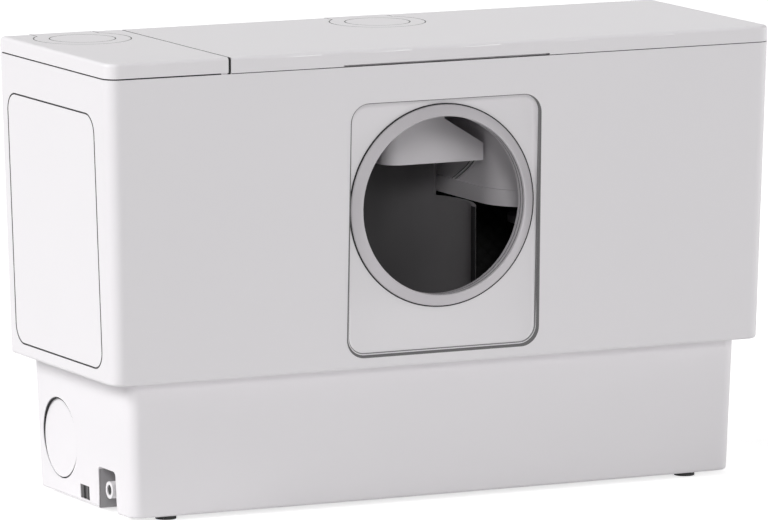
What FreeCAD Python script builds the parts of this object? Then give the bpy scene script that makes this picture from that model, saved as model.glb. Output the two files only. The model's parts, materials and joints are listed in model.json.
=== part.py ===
import FreeCAD, Part
import math
import os

# Slim lifting station for a wall-hung WC. Millimetres, +Z up, +X to the right along
# the front, +Y to the wall. The origin is on the floor under the middle of the lid.

V = FreeCAD.Vector

# Outside of the housing, from the floor up
foot_h = 2.6
sump_h = 79.1
casing_h = 173.8
lid_h = 9.5

# Plan sizes: the front bows forward by front_bulge over the depth at the sides
lid_w = 420.0
lid_depth = 148.2
front_bulge = 1.6
corner_r = 8.0

# How far the casing's foot and the sump's top and foot stand in from the lid's outline
casing_left_in = 6.1
casing_right_in = 2.3
casing_front_in = 7.2
sump_top_left_in = 20.8
sump_top_right_in = 10.8
sump_top_front_in = 20.0
sump_low_left_in = 24.6
sump_low_right_in = 12.1
sump_low_front_in = 24.6

# Walls and edges
casing_wall = 3.0
lid_lip_gap = 0.5
lid_lip_t = 2.0
lid_lip_drop = 4.0
sump_wall = 4.0
floor_t = 4.0
lid_wall = 2.5
lid_skin = 3.0
grip_x = 0.5
grip_w = 130.0
grip_h = 1.3
lid_gap_deep = 1.2
main_lid_gap = 0.45
service_lid_gap = 0.8
edge_r = 2.0
least_r = 1.0
back_spare = 5.0
fit_gap = 0.3

# Heights of the main levels
sump_z = foot_h
casing_z = sump_z + sump_h
casing_top = casing_z + casing_h
top_z = casing_top + lid_h
back_y = (lid_depth + front_bulge) / 2
span = lid_w / 420.0

# Wall between the wet chamber and the service space, under the seam of the lids
divider_x = -135.2 * span
divider_t = 4.0
lid_seam = 1.6

# Recess of the front inlet and the panel of the same size in the left side
recess_x = 0.6
recess_w = 119.6
recess_h = 144.3
recess_r = 10.5
recess_depth = 4.4
recess_floor_r = 2.5
recess_rise = 7.9
inlet_rise = 90.9
inlet_z = casing_z + inlet_rise
inlet_d = 102.2
inlet_ring_d = 115.3
ring_edge_proud = 1.3
ring_proud = 3.9
ring_round = 0.5
groove_w = 0.7
groove_deep = 1.2
sleeve_wall = 3.2
seat_gap = 0.1
bead_h = 1.8
bead_out = 2.0
lip_starts = [2.2, 5.4]
lip_w = 0.9
lip_deep = 0.6
panel_near = 7.8
panel_front_in = 20.8
panel_w = lid_depth - panel_near - panel_front_in
panel_ledge = 4.0
panel_gap = 0.5

# Keyhole inserts of the lids: centre, disc, round end and neck to the back edge
pipe_exit_x = -172.6 * span
vent_exit_x = 14.1 * span
exit_back = 31.2
disc_d = 38.0
disc_t = 1.5
disc_web = 2.0
keyhole_d = 56.0
neck_w = 39.0
ledge_w = 2.3
ledge_drop = 1.8

# Low side inlets and what shows at the foot of the left side
plug_rise = 33.0
nipple_rise = 12.3
slot_rise = 2.3
plug_d = 47.0
plug_back = 29.2
plug_z = foot_h + plug_rise
plug_t = 3.0
plug_gap = 0.9
plug_back_gap = 3.0
plug_sunk = 0.8
plug_reach = 30.0
pad_w = 3.0
niche_back = 81.2
niche_w = 23.6
niche_h = 24.4
niche_r = 3.0
niche_deep = 26.0
niche_wall = 2.5
nipple_d = 9.8
nipple_bore = 6.0
nipple_z = foot_h + nipple_rise
collar_d = 14.0
collar_h = 1.5
nipple_tip_in = 1.0
nipple_tail = 4.0
nipple_tail_d = 8.8

slot_back = 54.7
slot_w = 12.5
slot_h = 8.0
slot_z = foot_h + slot_rise
slot_bars = 2
slot_deep = 2.6
slot_bar = 1.4
foot_d = 12.0
foot_left_in = 50.8
foot_right_in = 37.3
foot_left = lid_w / 2 - foot_left_in
foot_right = lid_w / 2 - foot_right_in
foot_front = 113.4
foot_rear = 16.0
foot_stud_d = 5.0
foot_stud_h = 2.5

# Deck that closes the wet chamber, and what hangs from it
deck_t = 3.0
deck_drop = 9.5
shelf_w = 9.0
shelf_t = 4.0
seal_w = 2.0
seal_h = 1.5
hood_x = -7.0 * span
hood_w = 61.9 * span
hood_near = 13.0
hood_far = 86.6
hood_drop = 67.0
hood_bottom = casing_top - hood_drop
hood_wall = 2.5
hood_edge_h = 10.0
hood_r = 10.0
hood_lug_h = 14.0
hood_hole_h = 12.0
hood_screw_len = 11.0
hood_slope = 0.62
hood_lug_d = 9.0
hood_slots = 3
hood_slot_w = 4.0
hood_slot_pitch = 14.0
hood_slot_front = 18.0
hood_slot_back = 10.0
filter_d = 26.0
filter_h = 38.0
filter_gap = 0.3
hood_chamfer = hood_x + hood_w - vent_exit_x - filter_d / 2 - filter_gap - hood_wall
filter_slots = 3
filter_slot_w = 3.0
filter_slot_pitch = 8.0
filter_slot_len = 18.0
vent_wall = 2.0
vent_rise = 5.0

# Dry motor box, which hangs from the deck over the pump
box_w = 131.0
box_left_share = 0.17
box_anchor = 79.97 * span
box_x = box_anchor - box_left_share * box_w
box_near = 13.0
box_deep_share = 0.7557
box_deep = box_deep_share * box_w
box_far = box_near + box_deep
box_r = 10.0
box_round_r = 30.0
box_wall = 3.0
box_drop = 92.7
box_bottom = casing_top - box_drop
box_rim_h = 9.5
box_rim_out = 1.5
box_flange = 5.0
box_lid_t = 2.0
cover_screw_in = 25.0
cover_screw_out = 1.5
cover_head_d = 5.0
cover_head_h = 1.8

# Motor, all on one vertical axis with the pump
motor_share = 0.399
motor_x = box_x + motor_share * box_w
motor_back_share = 0.495
motor_back = box_near + motor_back_share * box_deep
stator_share = 0.6565
rotor_share = 0.351
winding_share = 0.565
winding_bore_share = 0.397
stator_d = stator_share * box_w
stator_h = 42.0
stator_slots = 12
stator_slot_d = 5.0
pedestal_wall = 4.0
stator_rise = 22.2
stator_z = box_bottom + stator_rise
air_gap = 0.3
rotor_d = rotor_share * box_w
winding_h = 11.0
winding_d = winding_share * box_w
winding_bore = winding_bore_share * box_w
shaft_d = 12.0
shaft_drop = 16.5
shaft_top = casing_top - shaft_drop
running_gap = 0.05
bearing_d = 28.0
bearing_h = 8.0
seal_ring_d = 24.0
seal_ring_h = 6.0
shield_t = 3.0
shield_h = 11.0

# Pump at the bottom of the sump
pump_z = 9.0
volute_d = 78.0
volute_wall = 4.0
volute_h = 23.0
suction_t = 4.0
suction_d = 32.0
tooth_count = 8
tooth_d = 4.0
tooth_out = 3.0
impeller_d = 58.0
impeller_h = 13.0
impeller_gap = 2.0
vane_t = 3.0
vane_count = 6
hub_d = 18.0
cutter_gap = 1.0
cutter_h = 5.0
cutter_d = 44.0
cutter_arms = 4
column_d = 36.0
column_wall = 3.0
column_foot = 62.0
post_d = 6.0
post_count = 3
post_ring = 30.0

# Pressure line: pipe along the back of the sump, non-return valve and riser
pipe_d = 26.0
pipe_bore = 22.5
stub_bore = 18.0
pipe_back = exit_back
pipe_bend = 28.0
pipe_top = 110.0
valve_d = 50.0
valve_gap = 0.8
valve_x = divider_x - divider_t / 2 - valve_gap - valve_d / 2
valve_wall = 3.0
valve_h = 46.0
valve_socket_h = 14.0
valve_seat_bore = 22.0
spigot_d = 32.0
spigot_bore = 26.0
spigot_h = 20.0
flap_d = 31.0
flap_t = 2.5
flap_pin_d = 3.0
flap_pin_off = 17.5
flap_arm_w = 12.0
flap_knuckle_d = 6.0
rubber_wall = 3.0
riser_d = 34.0
riser_low_drop = 50.5
riser_top_drop = 9.5
riser_bottom = casing_top - riser_low_drop
riser_top = casing_top - riser_top_drop
connector_lap = 16.0
clip_w = 8.0
clip_t = 1.0

# Collecting basket behind the inlet, open at the front
basket_back = 62.0
basket_d = 112.0
basket_wall = 2.5
basket_bottom = 50.0
basket_top_rise = 11.0
basket_sill_drop = 59.0
basket_box_gap = 0.5
basket_top = inlet_z + basket_top_rise
basket_low_top = box_bottom - basket_box_gap
basket_sill = inlet_z - basket_sill_drop
basket_mouth_w = 95.2
basket_step_angle = 27.5
basket_flange = 4.0
basket_flange_t = 2.0
basket_hole_d = 8.0
basket_slot_w = 5.0
basket_slot_h = 16.0
basket_slots = 16
basket_slot_rise = 7.0
basket_floor_t = 3.0
basket_hole_rings = ((0, 1), (15, 6), (29, 12), (43, 18))

# Level switch and its bell tube, and the electrical parts
bell_share = 0.8534
bell_x = box_x + bell_share * box_w
bell_d = 22.0
bell_wall = 2.0
bell_bottom = 28.0
switch_d = 30.0
switch_h = 14.0
plunger_d = 8.0
plunger_len = 10.0
plunger_rise = 2.5
board_w_share = 0.4122
board_w = board_w_share * box_w
board_h = 46.0
board_t = 1.6
board_share = 0.75
board_x = box_x + board_share * box_w
board_rise = 23.2
board_z = box_bottom + board_rise
board_gap = 2.0
board_lug_d = 6.0
relay_in = 4.0
relay_w = 16.0
relay_h = 14.0
relay_deep = 8.0
relay_rise = 8.0
socket_in = 2.0
socket_w = 20.0
socket_h = 10.0
socket_deep = 6.0
socket_rise = 30.0
capacitor_d_share = 0.2137
capacitor_d = capacitor_d_share * box_w
capacitor_h = 46.0
capacitor_share = 0.865
capacitor_x = box_x + capacitor_share * box_w
capacitor_back = 94.0
gland_share = 0.7046
gland_x = box_x + gland_share * box_w
gland_d = 16.0
gland_bore = 7.0
gland_in = 14.0
gland_nut_h = 5.0
tag_w = 1.0
tag_deep = 6.0
tag_h = 8.0
tag_out = 5.0

# Fasteners
screw_d = 3.5
screw_head_d = 7.0
screw_head_h = 2.5
boss_d = 10.0
boss_h = 20.0
boss_in = 0.85
screw_inset = 6.2
deck_screw_len = 9.0

boss_xs = [share * lid_w for share in (-0.381, -0.1786, 0.1786, 0.381)]
deck_front_xs = [share * lid_w for share in (-0.2857, -0.1429, 0, 0.1429, 0.2857, 0.4286)]
deck_back_xs = [share * lid_w for share in (-0.2857, -0.1667, 0.0952)]

os.makedirs("parts", exist_ok=True)


def from_wall(distance):
    return back_y - distance


def blend(z, z_low, z_high, low, high):
    return low + (high - low) * (z - z_low) / (z_high - z_low)


# Left side, right side and straight front line of the casing and of the sump at a height
def casing_sides(z):
    left = blend(z, casing_z, casing_top, casing_left_in, 0)
    right = blend(z, casing_z, casing_top, casing_right_in, 0)
    front = blend(z, casing_z, casing_top, casing_front_in, 0)
    return left - lid_w / 2, lid_w / 2 - right, from_wall(lid_depth - front)


def sump_sides(z):
    left = blend(z, sump_z, casing_z, sump_low_left_in, sump_top_left_in)
    right = blend(z, sump_z, casing_z, sump_low_right_in, sump_top_right_in)
    front = blend(z, sump_z, casing_z, sump_low_front_in, sump_top_front_in)
    return left - lid_w / 2, lid_w / 2 - right, from_wall(lid_depth - front)


def lid_sides(z):
    return -lid_w / 2, lid_w / 2, from_wall(lid_depth)


# Front of the bowed wall at a place along the length
def bowed_front(sides, x):
    left, right, front = sides
    across = (2 * x - left - right) / (right - left)
    return front - front_bulge * (1 - across ** 2)


# Outline of the housing at one height: straight back and sides, rounded front
# corners and an arc for the front, tangent to them
def outline(left, right, y_front, y_back, radius, z):
    half = (right - left) / 2
    mid = (right + left) / 2
    arc_r = (half ** 2 + front_bulge ** 2) / (2 * front_bulge)
    arc_y = y_front - front_bulge + arc_r
    corner_x = half - radius
    corner_y = arc_y - math.sqrt((arc_r - radius) ** 2 - corner_x ** 2)
    end_angle = math.atan2(corner_y - arc_y, corner_x)
    end_x = arc_r * math.cos(end_angle)
    end_y = arc_y + arc_r * math.sin(end_angle)
    turn_x = corner_x + radius * math.cos(end_angle / 2)
    turn_y = corner_y + radius * math.sin(end_angle / 2)
    right_arc = [V(right, corner_y, z), V(mid + turn_x, turn_y, z), V(mid + end_x, end_y, z)]
    front_arc = [V(mid + end_x, end_y, z), V(mid, arc_y - arc_r, z), V(mid - end_x, end_y, z)]
    left_arc = [V(mid - end_x, end_y, z), V(mid - turn_x, turn_y, z), V(left, corner_y, z)]
    edges = [
        Part.makeLine(V(left, y_back, z), V(right, y_back, z)),
        Part.makeLine(V(right, y_back, z), V(right, corner_y, z)),
        Part.Arc(*right_arc).toShape(),
        Part.Arc(*front_arc).toShape(),
        Part.Arc(*left_arc).toShape(),
        Part.makeLine(V(left, corner_y, z), V(left, y_back, z)),
    ]
    return Part.Wire(edges)


# Solid inside of the housing's outside, drawn in by inset, between two heights. It is
# lofted past the wall plane and cut there, so that its back is a true plane
def block(sides_at, inset, z_low, z_high):
    wires = []
    for z in (z_low, z_high):
        radius = max(corner_r - inset, least_r)
        left, right, front = sides_at(z)
        wires.append(outline(left + inset, right - inset, front + inset, back_y + back_spare, radius, z))
    solid = Part.makeLoft(wires, True, True)
    return solid.common(box(-half_wide, half_wide, -far_y, back_y - inset, z_low - 1, z_high + 1))


def casing_block(inset, z_low, z_high):
    return block(casing_sides, inset, z_low, z_high)


def sump_block(inset, z_low, z_high):
    return block(sump_sides, inset, z_low, z_high)


def lid_block(inset, z_low, z_high):
    return block(lid_sides, inset, z_low, z_high)


def box(x_low, x_high, y_low, y_high, z_low, z_high):
    return Part.makeBox(x_high - x_low, y_high - y_low, z_high - z_low, V(x_low, y_low, z_low))


def post(x, y, z_low, z_high, diameter):
    return Part.makeCylinder(diameter / 2, z_high - z_low, V(x, y, z_low), V(0, 0, 1))


def ring(x, y, z_low, z_high, outer_d, inner_d):
    outer = post(x, y, z_low, z_high, outer_d)
    return outer.cut(post(x, y, z_low - 1, z_high + 1, inner_d))


def rod(start, axis, length, diameter):
    return Part.makeCylinder(diameter / 2, length, start, axis)


# Edges that lie flat at a height, for a fillet round the outside
def level_edges(shape, z):
    found = []
    for edge in shape.Edges:
        if all(abs(vertex.Z - z) < 0.001 for vertex in edge.Vertexes):
            found.append(edge)
    return found


# Box with its four edges along one axis rounded
def rounded_box(x_low, x_high, y_low, y_high, z_low, z_high, radius, axis):
    solid = box(x_low, x_high, y_low, y_high, z_low, z_high)
    found = []
    for edge in solid.Edges:
        way = edge.Vertexes[1].Point - edge.Vertexes[0].Point
        if abs(way.dot(axis)) > way.Length * 0.99:
            found.append(edge)
    return solid.makeFillet(radius, found)


def screw(x, y, head_z, length):
    head = post(x, y, head_z, head_z + screw_head_h, screw_head_d)
    return head.fuse(post(x, y, head_z - length, head_z + 0.5, screw_d))


def polygon_prism(points, way):
    wire = Part.makePolygon(points + [points[0]])
    return Part.Face(wire).extrude(way)


def save(name, shape):
    shape.exportStep("parts/" + name + ".step")
    print(name, len(shape.Solids), round(shape.Volume / 1000, 2))


half_wide = lid_w
far_y = lid_depth * 2
inlet_y = bowed_front(casing_sides(inlet_z), recess_x)
pocket_y = inlet_y + recess_depth
ring_y = pocket_y - ring_proud
recess_z = casing_z + recess_rise
exit_y = from_wall(exit_back)
motor_y = from_wall(motor_back)
pipe_y = from_wall(pipe_back)
deck_z = casing_top - deck_drop
deck_top = deck_z + deck_t
divider_left = divider_x - divider_t / 2
divider_right = divider_x + divider_t / 2
floor_top = casing_z + floor_t
basket_y = from_wall(basket_back)
niche_x = sump_sides(sump_z)[0] + niche_deep
volute_top = pump_z + volute_h
suction_top = volute_top + suction_t
pipe_z = pump_z + volute_h / 2
box_floor = box_bottom + box_wall
hub_bottom = box_floor - bearing_h - seal_ring_h - 1.0


# Wet chamber of the casing, right of the divider, drawn in from its walls by inset
def chamber(inset, z_low, z_high):
    room = casing_block(casing_wall + inset, z_low, z_high)
    limit = box(divider_right + inset, half_wide, -far_y, far_y, z_low - 1, z_high + 1)
    return room.common(limit)


def plug_spot(side):
    left, right, front = sump_sides(plug_z)
    return V(left if side < 0 else right, from_wall(plug_back), plug_z)


def make_sump():
    solid = sump_block(0, sump_z, casing_z)
    solid = solid.makeFillet(edge_r, level_edges(solid, sump_z))
    solid = solid.cut(sump_block(sump_wall, sump_z + sump_wall, casing_z + 1))
    inner = sump_block(1.0, sump_z + 1.0, casing_z)
    for x in boss_xs:
        front = bowed_front(sump_sides(casing_z), x) + boss_d * boss_in
        for y in (from_wall(boss_d * boss_in), front):
            boss = post(x, y, casing_z - boss_h, casing_z, boss_d)
            boss = boss.cut(post(x, y, casing_z - boss_h + 2, casing_z + 1, screw_d))
            solid = solid.fuse(boss.common(inner))
    niche_y = from_wall(niche_back + niche_w)
    outer = box(-half_wide, niche_x + niche_wall, niche_y - niche_wall,
                niche_y + niche_w + niche_wall, sump_z, sump_z + niche_h + niche_wall)
    solid = solid.fuse(outer.common(sump_block(0.5, sump_z, casing_z)))
    niche = rounded_box(-half_wide, niche_x, niche_y, niche_y + niche_w,
                        sump_z - niche_h, sump_z + niche_h, niche_r, V(1, 0, 0))
    solid = solid.cut(niche)
    nipple_y = niche_y + niche_w / 2
    nipple_hole = rod(V(niche_x - 1, nipple_y, nipple_z), V(1, 0, 0), niche_wall + 8, nipple_tail_d)
    solid = solid.cut(nipple_hole)
    slot_y = from_wall(slot_back + slot_w)
    depth = sump_sides(slot_z)[0] + slot_deep
    slot = box(-half_wide, depth, slot_y, slot_y + slot_w, slot_z, slot_z + slot_h)
    pitch = slot_w / (slot_bars + 1)
    for count in range(1, slot_bars + 1):
        bar_y = slot_y + count * pitch - slot_bar / 2
        bar = box(-half_wide, depth, bar_y, bar_y + slot_bar, slot_z, slot_z + slot_h)
        slot = slot.cut(bar.common(sump_block(1.0, sump_z - 5, casing_z)))
    solid = solid.cut(slot)
    for side in (-1, 1):
        spot = plug_spot(side)
        start = spot + V(-side * (plug_t + plug_back_gap), 0, 0)
        hole = rod(start, V(side, 0, 0), plug_reach, plug_d)
        through = rod(start + V(-side * plug_t, 0, 0), V(side, 0, 0), plug_reach, plug_d - 2 * ledge_w)
        pad = rod(start + V(-side * plug_t / 2, 0, 0), V(side, 0, 0), 5, plug_d + 2 * pad_w)
        solid = solid.fuse(pad.common(sump_block(0.5, sump_z + 0.5, casing_z)))
        solid = solid.cut(hole).cut(through)
    for x, y in foot_spots():
        solid = solid.cut(post(x, y, sump_z - 1, sump_z + foot_stud_h, foot_stud_d))
    groove_out = sump_block(sump_wall / 2 - seal_w / 2, casing_z - seal_h, casing_z + 1)
    groove_in = sump_block(sump_wall / 2 + seal_w / 2, casing_z - seal_h - 1, casing_z + 2)
    return solid.cut(groove_out.cut(groove_in))


def make_sump_seal():
    outer = sump_block(sump_wall / 2 - seal_w / 2, casing_z - seal_h, casing_z)
    return outer.cut(sump_block(sump_wall / 2 + seal_w / 2, casing_z - seal_h - 1, casing_z + 1))


def foot_spots():
    spots = []
    for x in (-foot_left, foot_right):
        for back in (foot_front, foot_rear):
            spots.append((x, from_wall(back)))
    return spots


def make_feet():
    feet = []
    for x, y in foot_spots():
        pad = post(x, y, 0, foot_h, foot_d)
        feet.append(pad.fuse(post(x, y, 0, foot_h + foot_stud_h, foot_stud_d - 0.1)))
    return Part.makeCompound(feet)


def casing_screw_spots():
    spots = []
    for x in boss_xs:
        front = bowed_front(sump_sides(casing_z), x) + boss_d * boss_in
        spots.append((x, from_wall(boss_d * boss_in)))
        spots.append((x, front))
    return spots


def make_casing_screws():
    screws = []
    for x, y in casing_screw_spots():
        screws.append(screw(x, y, floor_top, boss_h - 4))
    return Part.makeCompound(screws)


def panel_prism(gap, x_low, x_high):
    y_high = from_wall(panel_near) - gap
    y_low = from_wall(panel_near + panel_w) + gap
    return rounded_box(x_low, x_high, y_low, y_high, recess_z + gap,
                       recess_z + recess_h - gap, recess_r - gap, V(1, 0, 0))


def recess_prism(grow, y_low, y_high):
    half = recess_w / 2 + grow
    return rounded_box(recess_x - half, recess_x + half, y_low, y_high, recess_z - grow,
                       recess_z + recess_h + grow, recess_r + grow, V(0, 1, 0))


# Room of the inlet pocket, rounded where its floor meets the sides
def pocket_room():
    room = recess_prism(0, -far_y, pocket_y)
    deep = [edge for edge in room.Edges
            if all(abs(vertex.Y - pocket_y) < 0.001 for vertex in edge.Vertexes)]
    return room.makeFillet(recess_floor_r, deep)


def make_casing():
    solid = casing_block(0, casing_z, casing_top)
    solid = solid.makeFillet(edge_r, level_edges(solid, casing_z))
    room = casing_block(casing_wall, floor_top, casing_top + 1)
    solid = solid.cut(room)
    inner = casing_block(casing_wall / 2, floor_top - 1, casing_top)
    divider = box(divider_left, divider_right, -far_y, far_y, floor_top - 1, casing_top)
    solid = solid.fuse(divider.common(inner))
    shelf = chamber(-casing_wall / 2, deck_z - shelf_t, deck_z)
    shelf = shelf.cut(chamber(shelf_w, deck_z - shelf_t - 1, deck_z + 1))
    solid = solid.fuse(shelf)
    groove = chamber(0.8, deck_z - seal_h, deck_z + 0.5)
    solid = solid.cut(groove.cut(chamber(0.8 + seal_w, deck_z - seal_h - 1, deck_z + 1)))
    # Pocket of the front inlet and the hole that its seal grips
    backing = recess_prism(casing_wall, -far_y, pocket_y + casing_wall)
    solid = solid.fuse(backing.common(casing_block(0, casing_z, casing_top)))
    solid = solid.cut(pocket_room())
    hole_d = inlet_d + 2 * (sleeve_wall + seat_gap)
    solid = solid.cut(rod(V(recess_x, -far_y, inlet_z), V(0, 1, 0), far_y, hole_d))
    ring_groove = rod(V(recess_x, pocket_y - 1, inlet_z), V(0, 1, 0), 1 + groove_deep,
                      inlet_ring_d + 2 * groove_w)
    solid = solid.cut(ring_groove.cut(rod(V(recess_x, pocket_y - 2, inlet_z), V(0, 1, 0), 4, inlet_ring_d)))
    # Opening of the side panel with the ledge it lies on
    frame = panel_prism(-panel_ledge, -half_wide, divider_left)
    frame = frame.cut(panel_prism(panel_ledge, -half_wide - 1, divider_left + 1))
    band = casing_block(casing_wall - 0.2, casing_z, casing_top)
    band = band.cut(casing_block(casing_wall + 2.5, casing_z - 1, casing_top + 1))
    opening = panel_prism(0, -half_wide, divider_left)
    solid = solid.cut(opening.cut(casing_block(casing_wall, casing_z, casing_top)))
    solid = solid.fuse(frame.common(band))
    for x, y in casing_screw_spots():
        solid = solid.cut(post(x, y, casing_z - 1, floor_top + 1, screw_d))
    # Openings of the floor: basket, pump with its bell tube, and pressure pipe
    solid = solid.cut(post(0, basket_y, casing_z - 1, floor_top + 1, basket_d + 1))
    solid = solid.cut(rounded_box(motor_x - volute_d / 2 - 4, bell_x + bell_d / 2 + 1,
                                  motor_y - volute_d / 2 - 4, motor_y + volute_d / 2 + 4,
                                  casing_z - 1, floor_top + 1, 8.0, V(0, 0, 1)))
    solid = solid.cut(post(valve_x, pipe_y, casing_z - 1, floor_top + 1, pipe_d + 0.2))
    for x, y in deck_spots():
        solid = solid.cut(post(x, y, deck_z - shelf_t - 1, deck_z + 1, screw_d))
    return solid


def deck_spots():
    spots = []
    reach = casing_wall + screw_inset
    for x in deck_front_xs:
        spots.append((x, bowed_front(casing_sides(deck_z), x) + reach))
    for x in deck_back_xs:
        spots.append((x, from_wall(reach)))
    return spots


def make_deck():
    solid = chamber(fit_gap, deck_z, deck_top)
    solid = solid.cut(box_outline(0.2, deck_z - 1, deck_top + 1))
    solid = solid.cut(post(vent_exit_x, exit_y, deck_z - 1, deck_top + 1, filter_d))
    spigot = ring(vent_exit_x, exit_y, deck_top - 0.5, deck_top + vent_rise, filter_d + 2 * vent_wall,
                  filter_d)
    solid = solid.fuse(spigot)
    for x, y in deck_spots() + hood_spots():
        solid = solid.cut(post(x, y, deck_z - 1, deck_top + 1, screw_d))
    return solid


def make_deck_seal():
    outer = chamber(0.8, deck_z - seal_h, deck_z)
    return outer.cut(chamber(0.8 + seal_w, deck_z - seal_h - 1, deck_z + 1))


def make_deck_screws():
    return Part.makeCompound([screw(x, y, deck_top, deck_screw_len) for x, y in deck_spots()])


# Plan of the motor box between two heights: the corner nearest the inlet is well
# rounded, the other three less
def box_outline(grow, z_low, z_high):
    x_low = box_x - grow
    y_low = from_wall(box_far) - grow
    solid = box(x_low, box_x + box_w + grow, y_low, from_wall(box_near) + grow, z_low, z_high)
    near = []
    others = []
    for edge in solid.Edges:
        upright = abs(edge.Vertexes[0].Z - edge.Vertexes[1].Z) > (z_high - z_low) / 2
        spot = edge.Vertexes[0].Point
        if upright and abs(spot.x - x_low) < 0.001 and abs(spot.y - y_low) < 0.001:
            near.append(edge)
        elif upright:
            others.append(edge)
    rounded = solid.makeFillet(box_r + grow, others)
    tall = solid.makeFillet(box_round_r + grow, near)
    return rounded.common(tall)


def make_motor_box():
    solid = box_outline(0, box_bottom, deck_top + 1)
    rim = box_outline(box_rim_out, box_bottom, box_bottom + box_rim_h)
    flange = box_outline(box_flange, deck_top, deck_top + deck_t)
    solid = solid.fuse(rim).fuse(flange)
    solid = solid.cut(box_outline(-box_wall, box_floor, deck_top + deck_t + 1))
    hub_d = bearing_d + 2 * box_wall
    solid = solid.fuse(post(motor_x, motor_y, hub_bottom, box_floor, hub_d))
    pedestal = ring(motor_x, motor_y, box_floor - 0.5, stator_z, stator_d - 1,
                    stator_d - 1 - 2 * pedestal_wall)
    solid = solid.fuse(pedestal)
    solid = solid.cut(post(motor_x, motor_y, box_floor - bearing_h, box_floor + 1, bearing_d))
    solid = solid.cut(post(motor_x, motor_y, hub_bottom, hub_bottom + seal_ring_h, seal_ring_d))
    solid = solid.cut(post(motor_x, motor_y, hub_bottom - 1, box_floor, shaft_d + 2))
    solid = solid.cut(post(bell_x, motor_y, box_bottom - 1, box_floor + 1, plunger_d))
    for side in (-1, 1):
        x = board_x + side * board_w / 3
        lug_y = from_wall(box_near + box_wall)
        lug = rod(V(x, lug_y + 0.5, board_z + board_h / 2), V(0, -1, 0), board_gap + 0.5, board_lug_d)
        solid = solid.fuse(lug)
    return solid


def make_box_cover():
    z = deck_top + deck_t
    solid = box_outline(box_flange, z, z + box_lid_t)
    lip = box_outline(-box_wall - 0.2, z - 4, z + 0.5)
    lip = lip.cut(box_outline(-box_wall - 2.2, z - 5, z + 0.1))
    solid = solid.fuse(lip)
    for x, y in cover_spots():
        solid = solid.cut(post(x, y, z - 1, z + box_lid_t + 1, screw_d))
    gland_hole = post(gland_x, from_wall(box_near + gland_in), z - 1, z + box_lid_t + 1, gland_d - 4)
    return solid.cut(gland_hole)


def cover_spots():
    spots = []
    for x in (box_x + box_round_r + box_flange, box_x + box_w - cover_screw_in):
        for y in (from_wall(box_near - cover_screw_out), from_wall(box_far + cover_screw_out)):
            spots.append((x, y))
    return spots


def make_cover_screws():
    z = deck_top + deck_t + box_lid_t
    screws = []
    for x, y in cover_spots():
        head = post(x, y, z, z + cover_head_h, cover_head_d)
        screws.append(head.fuse(post(x, y, z - box_lid_t, z + 0.5, screw_d)))
    return Part.makeCompound(screws)


def make_stator():
    core = ring(motor_x, motor_y, stator_z, stator_z + stator_h, stator_d, rotor_d + 2 * air_gap)
    for count in range(stator_slots):
        angle = count * 2 * math.pi / stator_slots
        x = motor_x + math.cos(angle) * winding_bore / 2 * 1.12
        y = motor_y + math.sin(angle) * winding_bore / 2 * 1.12
        core = core.cut(post(x, y, stator_z - 1, stator_z + stator_h + 1, stator_slot_d))
    return core


# Two coil heads, one above and one below the core, each a ring with rounded edges
def make_windings():
    heads = []
    for z in (stator_z - winding_h, stator_z + stator_h):
        head = ring(motor_x, motor_y, z, z + winding_h, winding_d, winding_bore)
        edges = level_edges(head, z) + level_edges(head, z + winding_h)
        heads.append(head.makeFillet(3.0, edges))
    return Part.makeCompound(heads)


def make_end_shield():
    z = stator_z + stator_h
    solid = ring(motor_x, motor_y, z, z + shield_h, stator_d, stator_d - 8)
    plate = post(motor_x, motor_y, z + shield_h, z + shield_h + shield_t, stator_d)
    hub = post(motor_x, motor_y, shaft_top - bearing_h - 1, z + shield_h, bearing_d + 6)
    solid = solid.fuse(plate).fuse(hub)
    bore = post(motor_x, motor_y, shaft_top - bearing_h - 2, shaft_top + 1, bearing_d)
    return solid.cut(bore)


def make_bearing(z):
    outer = ring(motor_x, motor_y, z, z + bearing_h, bearing_d, bearing_d - 6)
    inner = ring(motor_x, motor_y, z, z + bearing_h, shaft_d + 6, shaft_d + 2 * running_gap)
    cage = ring(motor_x, motor_y, z + 1, z + bearing_h - 1, bearing_d - 6, shaft_d + 6)
    return outer.fuse(cage).fuse(inner)


def make_shaft():
    low = pump_z + volute_wall + 3
    solid = post(motor_x, motor_y, low, shaft_top, shaft_d)
    return solid.makeChamfer(1.0, level_edges(solid, shaft_top))


def make_shaft_seal():
    return ring(motor_x, motor_y, hub_bottom, hub_bottom + seal_ring_h, seal_ring_d,
                shaft_d + 2 * running_gap)


def make_rotor():
    return ring(motor_x, motor_y, stator_z, stator_z + stator_h, rotor_d, shaft_d)


# Tube between the motor box and the pump, on three posts over the suction plate
def make_column():
    top = hub_bottom
    solid = ring(motor_x, motor_y, column_foot, top, column_d, column_d - 2 * column_wall)
    foot = ring(motor_x, motor_y, column_foot, column_foot + 4, post_ring * 2 + post_d + 4,
                column_d - 1)
    head = ring(motor_x, motor_y, top - 4, top, column_d + 12, column_d - 1)
    solid = solid.fuse(foot).fuse(head)
    for count in range(post_count):
        angle = math.pi / 2 + count * 2 * math.pi / post_count
        x = motor_x + math.cos(angle) * post_ring
        y = motor_y + math.sin(angle) * post_ring
        solid = solid.fuse(post(x, y, suction_top, column_foot + 1, post_d))
    return solid


def make_suction_plate():
    solid = ring(motor_x, motor_y, volute_top, suction_top, volute_d, suction_d)
    for count in range(tooth_count):
        angle = (count + 0.5) * 2 * math.pi / tooth_count
        x = motor_x + math.cos(angle) * (cutter_d / 2 + tooth_out)
        y = motor_y + math.sin(angle) * (cutter_d / 2 + tooth_out)
        solid = solid.fuse(post(x, y, suction_top - 0.5, suction_top + cutter_h, tooth_d))
    return solid


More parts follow.
